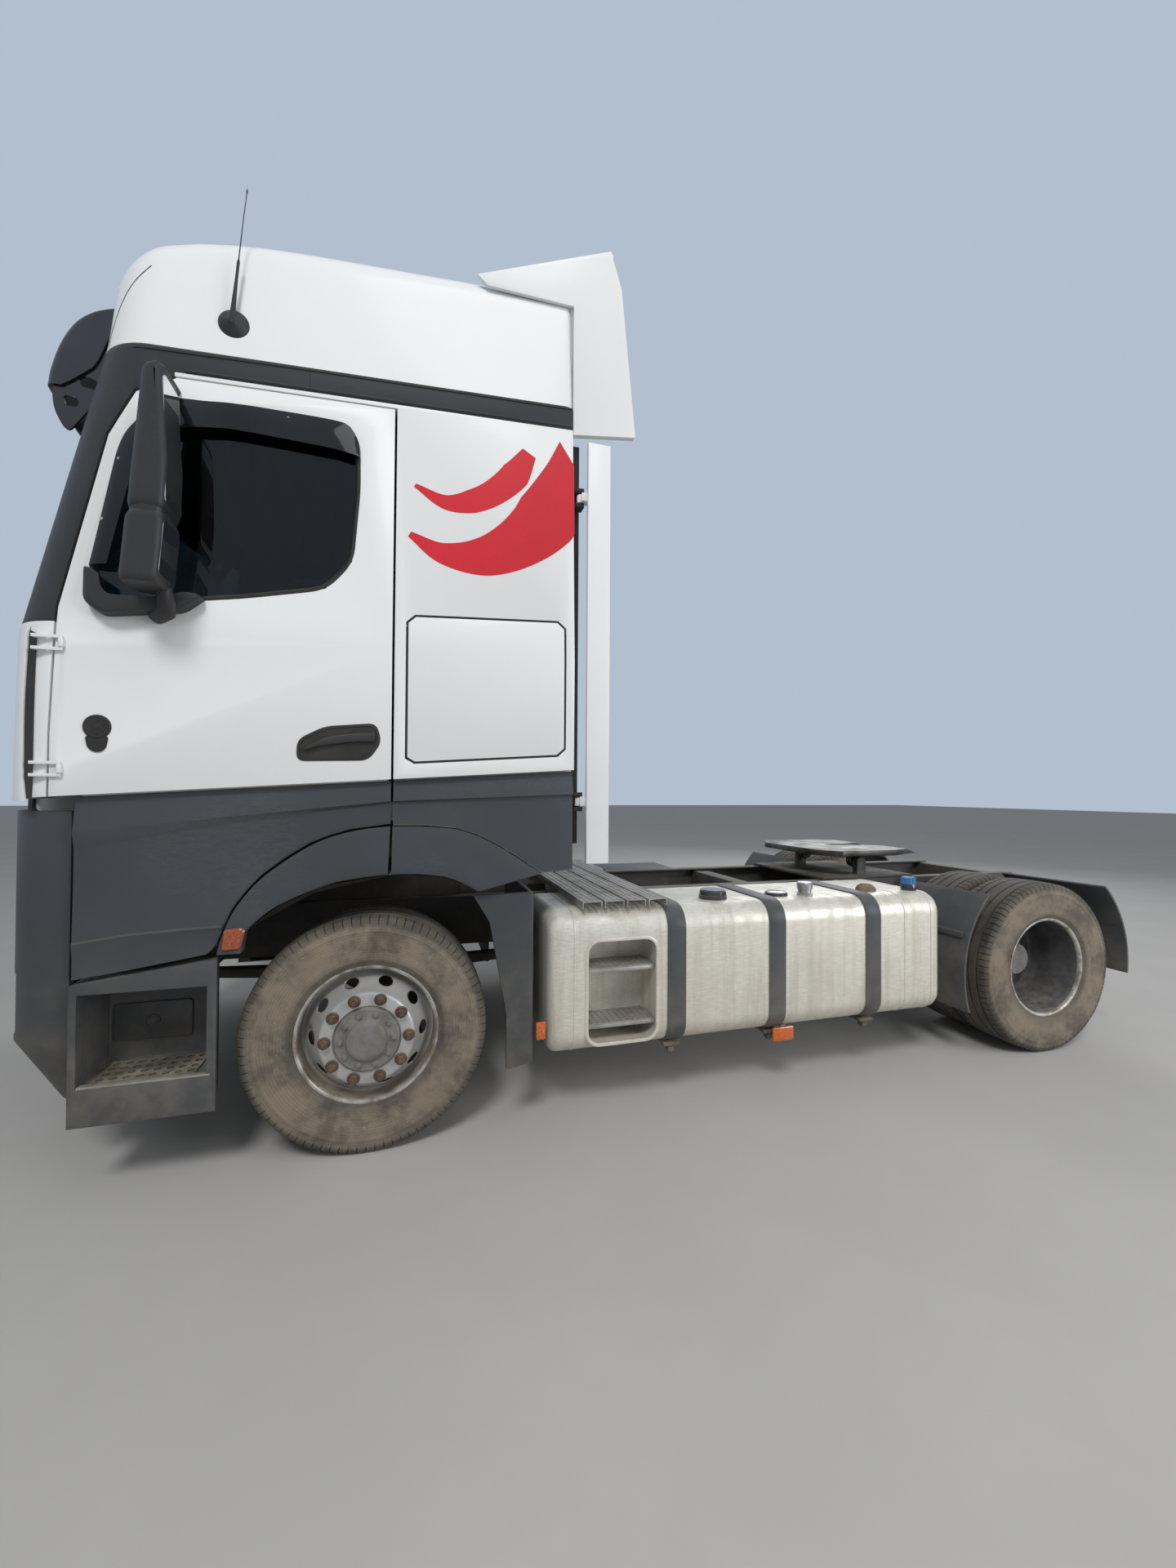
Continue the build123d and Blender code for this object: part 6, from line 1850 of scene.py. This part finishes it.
class TRACTOR_OT_steps(bpy.types.Operator):
    """Dress the step boxes and make their treads and bright strips"""

    bl_idname = "tractor.steps"
    bl_label = "Steps"

    def execute(self, context):
        refined("step_boxes", "Skirt plastic", "dark_plastic", 7.0, steps=3)
        matrices = []
        for side in (1, -1):
            for y, z in ((1112, 441), (1075, 1150)):
                matrices.append(Matrix.Translation(place(800, side * y, z)))
        repeated("plate", "step_treads", "Frame paint", matrices, "chassis", "dark_plastic", Columns=8, Rows=4,
                 Pitch_X=0.043, Pitch_Y=0.046, Hole=0.0135, Thickness=0.006)
        cover_x, cover_z = 849, 590
        for label, side in BOTH:
            strips = Shape()
            strips.slab((570, 1002), (1207, 1236), (440, 448))
            strips.slab((640, 985), (1206, 1212), (398, 402))
            make("step_lips_" + label, strips, "Worn aluminium", "chassis", side, rounding=1.5)
            cover = Shape()
            cover.plate(rounded_at(cover_x, cover_z, 280, 150, 14, 4), (974, 984))
            cover.turned([(983, 0.01), (983, 26), (990, 24), (990, 18), (985, 16), (985, 0.01)], (cover_x, 0, cover_z),
                         steps=24)
            make("step_covers_" + label, cover, "Skirt plastic", "chassis", side, rounding=2)
        return {"FINISHED"}


class TRACTOR_OT_tank(bpy.types.Operator):
    """Dress the fuel tank, its straps, caps, weld beads and step treads"""

    bl_idname = "tractor.tank"
    bl_label = "Fuel tank"

    def execute(self, context):
        self.make_body()
        refined("tank_straps", "Skirt plastic", "dark_plastic", 1.5, angle=50)
        self.make_beads()
        self.make_caps()
        self.make_strap_feet()
        return {"FINISHED"}

    def around(self, x, grow):
        """Closed section of the tank at x, grown outwards."""
        low_y, high_y, low_z, high_z, corner = 575, TANK_SIDE, 326, 990, 110
        outline = rounded_at((low_y + high_y) / 2, (low_z + high_z) / 2, high_y - low_y + 2 * grow,
                             high_z - low_z + 2 * grow, corner + grow, 10)
        return [(x, y, z) for y, z in outline]

    def make_body(self):
        """Body with pillowed ends, cut out for the two steps."""
        body = Shape()
        front, rear = -775, -3040
        ends = [(0, -70), (2, -48), (9, -28), (22, -12), (38, -3), (56, 0)]  # distance from the end, growth
        stations = [(front - x, grow) for x, grow in ends] + [(rear + x, grow) for x, grow in reversed(ends)]
        body.stack([self.around(x, grow) for x, grow in stations])
        piece = make("fuel_tank_skin", body, "Tank aluminium", "chassis",
                     replaces=("fuel_tank",), sharp=30)
        cutter = Shape()
        cutter.plate(rounded_at(*RECESS, 345, 477, 58, 7), (1022, 1300))
        tool = make("recess_cutter", cutter, "Tank aluminium", "chassis")
        cut = piece.modifiers.new("Recess", "BOOLEAN")
        cut.object = tool
        cut.solver = "EXACT"
        settle(piece)
        bpy.data.objects.remove(tool)
        shade(piece.data, 30)
        treads = Shape()
        for z in (437, 696):
            treads.slab((-1301, -964), (1021, 1205), (z, z + 20))
        make("tank_tread_trays", treads, "Worn aluminium", "chassis", rounding=5)

    def make_beads(self):
        """Weld beads round the tank, the lip of the recess and the treads in it."""
        shape = Shape()
        for x in (-896, -2780, -2961):
            bead = ((-5, -1.5), (-3.4, 1.6), (0, 3.0), (3.4, 1.6), (5, -1.5))
            made = shape.stack([self.around(x + along, grow) for along, grow in bead], covers=False)
            inner = shape.ring(self.around(x, -4))
            shape.span(made[0], inner)
            shape.span(made[-1], inner)
        make("tank_beads", shape, "Tank aluminium", "chassis", sharp=60)
        lip = Shape()
        outline = rounded_at(*RECESS, 353, 485, 62, 7)
        path = even_line(outline + [outline[0]], 110, closed=True)
        skin_strip(lip, path, [(-9, -3), (-7, 3), (0, 5.5), (7, 3), (9, -3)], cover=lambda x, z: TANK_SIDE)
        make("recess_lip", lip, "Tank aluminium", "chassis", sharp=50)
        matrices = [Matrix.Translation(place(RECESS[0], 1128, z)) for z in (457.5, 716.5)]
        repeated("plate", "tank_treads", "Worn aluminium", matrices, "chassis", "bare_aluminium", Columns=11, Rows=5,
                 Pitch_X=0.0295, Pitch_Y=0.0295, Hole=0.0082, Thickness=0.004)

    def make_caps(self):
        """Caps and senders on the tank's top, and the ribbed blue cap."""
        seat = 990.3
        blue_x, blue_y = -2940, 1085
        rows = [  # x, y, finish, section of height and radius
            (-1700, 1040, "Gloss black", [(0, 75), (16, 75), (20, 71), (40, 69), (47, 62), (48, 20)]),
            (-2085, 1040, "Gloss black", [(0, 62), (10, 61), (18, 54), (22, 30)]),
            (-2235, 1085, "Bright steel", [(0, 41), (10, 42), (14, 36), (30, 35), (34, 41), (64, 41), (71, 36),
                                           (72, 14)]),
            (-2680, 1040, "Barrel dirt", [(0, 55), (10, 54), (24, 46), (36, 30), (38, 10)]),
            (blue_x, blue_y, "Gloss black", [(0, 41), (24, 42), (34, 38)]),
        ]
        for number, (x, y, finish, section) in enumerate(rows):
            shape = Shape()
            closed = [(seat + height, radius) for height, radius in [(0, 0.01), *section, (section[-1][0], 0.01)]]
            shape.turned(closed, (x, y, 0), axis="z", steps=40)
            make(f"tank_cap_{number}", shape, finish, "chassis",
                 replaces=("tank_caps",) if number == 0 else ())
        blue = Shape()
        for rib in range(12):
            angle = 2 * pi * rib / 12
            blue.turned([(1026, 0.01), (1026, 4.5), (1062, 4), (1064, 0.01)],
                        (blue_x + 36 * cos(angle), blue_y + 36 * sin(angle), 0), axis="z", steps=8)
        blue.turned([(1024, 0.01), (1024, 36), (1060, 35), (1064.5, 30), (1065, 0.01)], (blue_x, blue_y, 0), axis="z",
                    steps=36)
        make("tank_cap_blue", blue, "Cap blue", "chassis")

    def make_strap_feet(self):
        """Feet and bolts under the tank's straps."""
        shape = Shape()
        for x in (-1409, -1971, -2567):
            shape.slab((x - 42, x + 42), (1030, 1170), (300, 316))
            shape.slab((x - 16, x + 16), (1120, 1160), (268, 302))
            shape.turned([(262, 0.01), (262, 15), (276, 15), (276, 8), (322, 8), (322, 0.01)], (x, 1140, 0), axis="z",
                         steps=12)
        make("strap_feet", shape, "Cast iron", "chassis", rounding=2.5)


class TRACTOR_OT_walkway(bpy.types.Operator):
    """Make the perforated channels behind the cab and the coupling's details"""

    bl_idname = "tractor.walkway"
    bl_label = "Walkway and coupling"

    def execute(self, context):
        pitch = context.scene.tractor_fittings.plate_pitch
        channels = (-1360, -1250, -1140, -1030)
        wide, wall = 95, 4
        shape = Shape()
        for x in channels:
            for low in (x, x + wide - wall):
                shape.slab((low, low + wall), (-450, 1215), (1000, 1034))
        for y, foot in ((-430, 950), (390, 950), (1000, 990)):
            shape.slab((-1360, -935), (y, y + 40), (foot + 0.3, 1001))
        for x in channels:
            for y in range(-440, 1200, 164):
                shape.slab((x + 3, x + wide - 3), (y, y + 5), (1012, 1032))
        make("walkway_sides", shape, "Worn aluminium", "chassis", replaces=("catwalk",),
             rounding=1.0)
        rows = 54
        matrices = [Matrix.Translation(place(x + wide / 2, 382.5, 1031.5)) for x in channels]
        repeated("plate", "walkway_plates", "Worn aluminium", matrices, "chassis", "bare_aluminium", Columns=3,
                 Rows=rows, Pitch_X=pitch, Pitch_Y=1.665 / rows, Hole=0.0098, Thickness=0.004)
        refined("fifth_wheel", "Greasy steel", "plain_steel", 6.0, steps=3)
        return {"FINISHED"}


class TRACTOR_OT_lamps(bpy.types.Operator):
    """Make headlamp glasses, reflectors, rear lamps and the blank plate"""

    bl_idname = "tractor.lamps"
    bl_label = "Lamps"

    def execute(self, context):
        refined("lamps", "Lamp glass", "lamp_glass", 0, name="headlamp_glass", wanted=lambda centre: centre.x > 0)
        rear_z = 810
        for label, side in BOTH:
            bowls = Shape()
            for y, z, radius in ((880, 745, 62), (1020, 740, 56), (950, 660, 24)):
                mouth = nose(y + radius) - 37
                bowls.turned([(0, radius), (-30, radius * 0.85), (-56, radius * 0.4), (-60, 0.01), (-64, 0.01),
                              (-60, radius * 0.5), (-32, radius * 0.92), (0, radius + 3)], (mouth, y, z), axis="x",
                             steps=36)
            make("headlamp_bowls_" + label, bowls, "Bright steel", "chassis", side)
            back = Shape()
            back.slab((1095, 1110), (802, 1105), (622, 848))
            make("headlamp_back_" + label, back, "Gloss black", "chassis", side, rounding=4)
            house = Shape()
            house.plate(rounded_at(790, rear_z, 380, 90, 12, 4), (-4541, -4590), "x")
            make("rear_lamp_house_" + label, house, "Gloss black", "chassis", side, rounding=3)
            for finish, low, high in (("Red lens", 612, 800), ("Clear lens", 804, 858), ("Amber lens", 862, 968)):
                lens = Shape()
                lens.lens(((low + high) / 2, rear_z), (high - low, 74), 9, 4, (-4588, -4597, -4600), "x")
                make(f"rear_lens_{finish.split()[0].lower()}_{label}", lens, finish, "chassis", side)
        plate = Shape()
        plate.plate(rounded_at(0, rear_z, 520, 112, 8, 4), (-4592, -4598), "x")
        make("blank_plate_rear", plate, "Plate white", "chassis", rounding=1)
        return {"FINISHED"}


class TRACTOR_OT_interior(bpy.types.Operator):
    """Make the padded seats and bunk, and dress the dashboard"""

    bl_idname = "tractor.interior"
    bl_label = "Interior"

    def execute(self, context):
        refined("dashboard", "Dash plastic", "dark_plastic", 8.0, steps=3)
        bases = Shape()
        for y in (360, -760):
            bases.slab((20, 400), (y, y + 400), (1501, 1850))
        bases.slab((-330, -300), (-1080, 1080), (1501, 1955))
        make("seat_bases", bases, "Dash plastic", "cab", replaces=("seats",), rounding=14, steps=3)
        for label, side in BOTH:
            self.cushion("seat_pad_" + label, (-50, 470), (320, 800), 1856, 144, side, "Woven cloth")
            self.backrest("seat_back_" + label, side)
        self.cushion("bunk_mattress", (-795, -265), (-1070, 1070), 1955, 133, 1, "Bunk cloth")
        return {"FINISHED"}

    def cushion(self, name, x_range, y_range, floor, height, side, finish):
        """Crowned cushion whose sides pull in, flat below where it rests."""
        shape = Shape()
        cx, cy = sum(x_range) / 2, sum(y_range) / 2
        wide, deep = x_range[1] - x_range[0], y_range[1] - y_range[0]
        rings = []
        for level, inset in ((0.0, 22), (0.05, 8), (0.2, 2), (0.45, 0), (0.62, 4), (0.66, 7), (0.70, 4), (0.85, 14),
                             (0.93, 40), (0.965, 80), (0.985, 130)):
            outline = rounded_box(wide - 2 * inset, deep - 2 * inset, max(50 - inset * 0.2, 12), 6)
            ring = []
            for u, v in outline:
                pull = 1 - 0.012 * (1 - abs(u) / wide * 2) * (1 - abs(v) / deep * 2)
                ring.append((cx + u * pull, cy + v * pull, floor + height * level))
            rings.append(ring)
        shape.stack(rings)
        piece = make(name, shape, finish, "cab", side, levels=1, sharp=180)

    def backrest(self, name, side):
        """Backrest with side bolsters and a head part."""
        foot, height, lean, middle_y = 1900, 840, 120, 560
        squareness, bolster = 0.55, 0.28
        rings = []
        for z, half, thick in ((1905, 170, 40), (1925, 215, 62), (2000, 232, 74), (2250, 238, 78), (2450, 226, 74),
                               (2540, 190, 66), (2575, 150, 60), (2590, 140, 58), (2620, 150, 60), (2700, 148, 58),
                               (2735, 130, 48), (2745, 100, 34)):
            middle = -lean * (z - foot) / height
            ring = []
            for step in range(28):
                angle = 2 * pi * step / 28
                u, v = (copysign(abs(part) ** squareness, part) for part in (cos(angle), sin(angle)))
                swell = 1 + bolster * abs(u) ** 3 if v > 0 else 1
                ring.append((middle + v * thick / 2 * swell, middle_y + u * half, z))
            rings.append(ring)
        shape = Shape()
        shape.stack(rings)
        piece = make(name, shape, "Woven cloth", "cab", side, levels=1, sharp=180)


class TRACTOR_PT_panel(bpy.types.Panel):
    """Lists the settings and the pieces that can be made"""

    bl_idname = "TRACTOR_PT_panel"
    bl_label = "Tractor unit"
    bl_space_type = "VIEW_3D"
    bl_region_type = "UI"
    bl_category = "Tractor unit"

    def draw(self, context):
        layout = self.layout
        scene = context.scene
        for group in (scene.tractor_paint, scene.tractor_wheels, scene.tractor_fittings, scene.tractor_stage):
            box = layout.box()
            for name in group.__annotations__:
                box.prop(group, name)
        for operator in OPERATORS:
            layout.operator(operator.bl_idname)


GROUPS = (PaintSettings, WheelSettings, FittingSettings, StageSettings)
OPERATORS = (
    TRACTOR_OT_finishes, TRACTOR_OT_stage, TRACTOR_OT_chassis, TRACTOR_OT_wheels, TRACTOR_OT_roof, TRACTOR_OT_cab,
    TRACTOR_OT_windows, TRACTOR_OT_skirts, TRACTOR_OT_mirrors, TRACTOR_OT_visor, TRACTOR_OT_steps, TRACTOR_OT_tank,
    TRACTOR_OT_walkway, TRACTOR_OT_lamps, TRACTOR_OT_interior,
)


def register():
    for group in GROUPS + OPERATORS + (TRACTOR_PT_panel,):
        bpy.utils.register_class(group)
    bpy.types.Scene.tractor_paint = PointerProperty(type=PaintSettings)
    bpy.types.Scene.tractor_wheels = PointerProperty(type=WheelSettings)
    bpy.types.Scene.tractor_fittings = PointerProperty(type=FittingSettings)
    bpy.types.Scene.tractor_stage = PointerProperty(type=StageSettings)


def unregister():
    for name in ("tractor_paint", "tractor_wheels", "tractor_fittings", "tractor_stage"):
        delattr(bpy.types.Scene, name)
    for group in reversed(GROUPS + OPERATORS + (TRACTOR_PT_panel,)):
        bpy.utils.unregister_class(group)


def main():
    register()
    for operator in OPERATORS:
        group, name = operator.bl_idname.split(".")
        getattr(getattr(bpy.ops, group), name)()


if __name__ == "__main__":
    main()
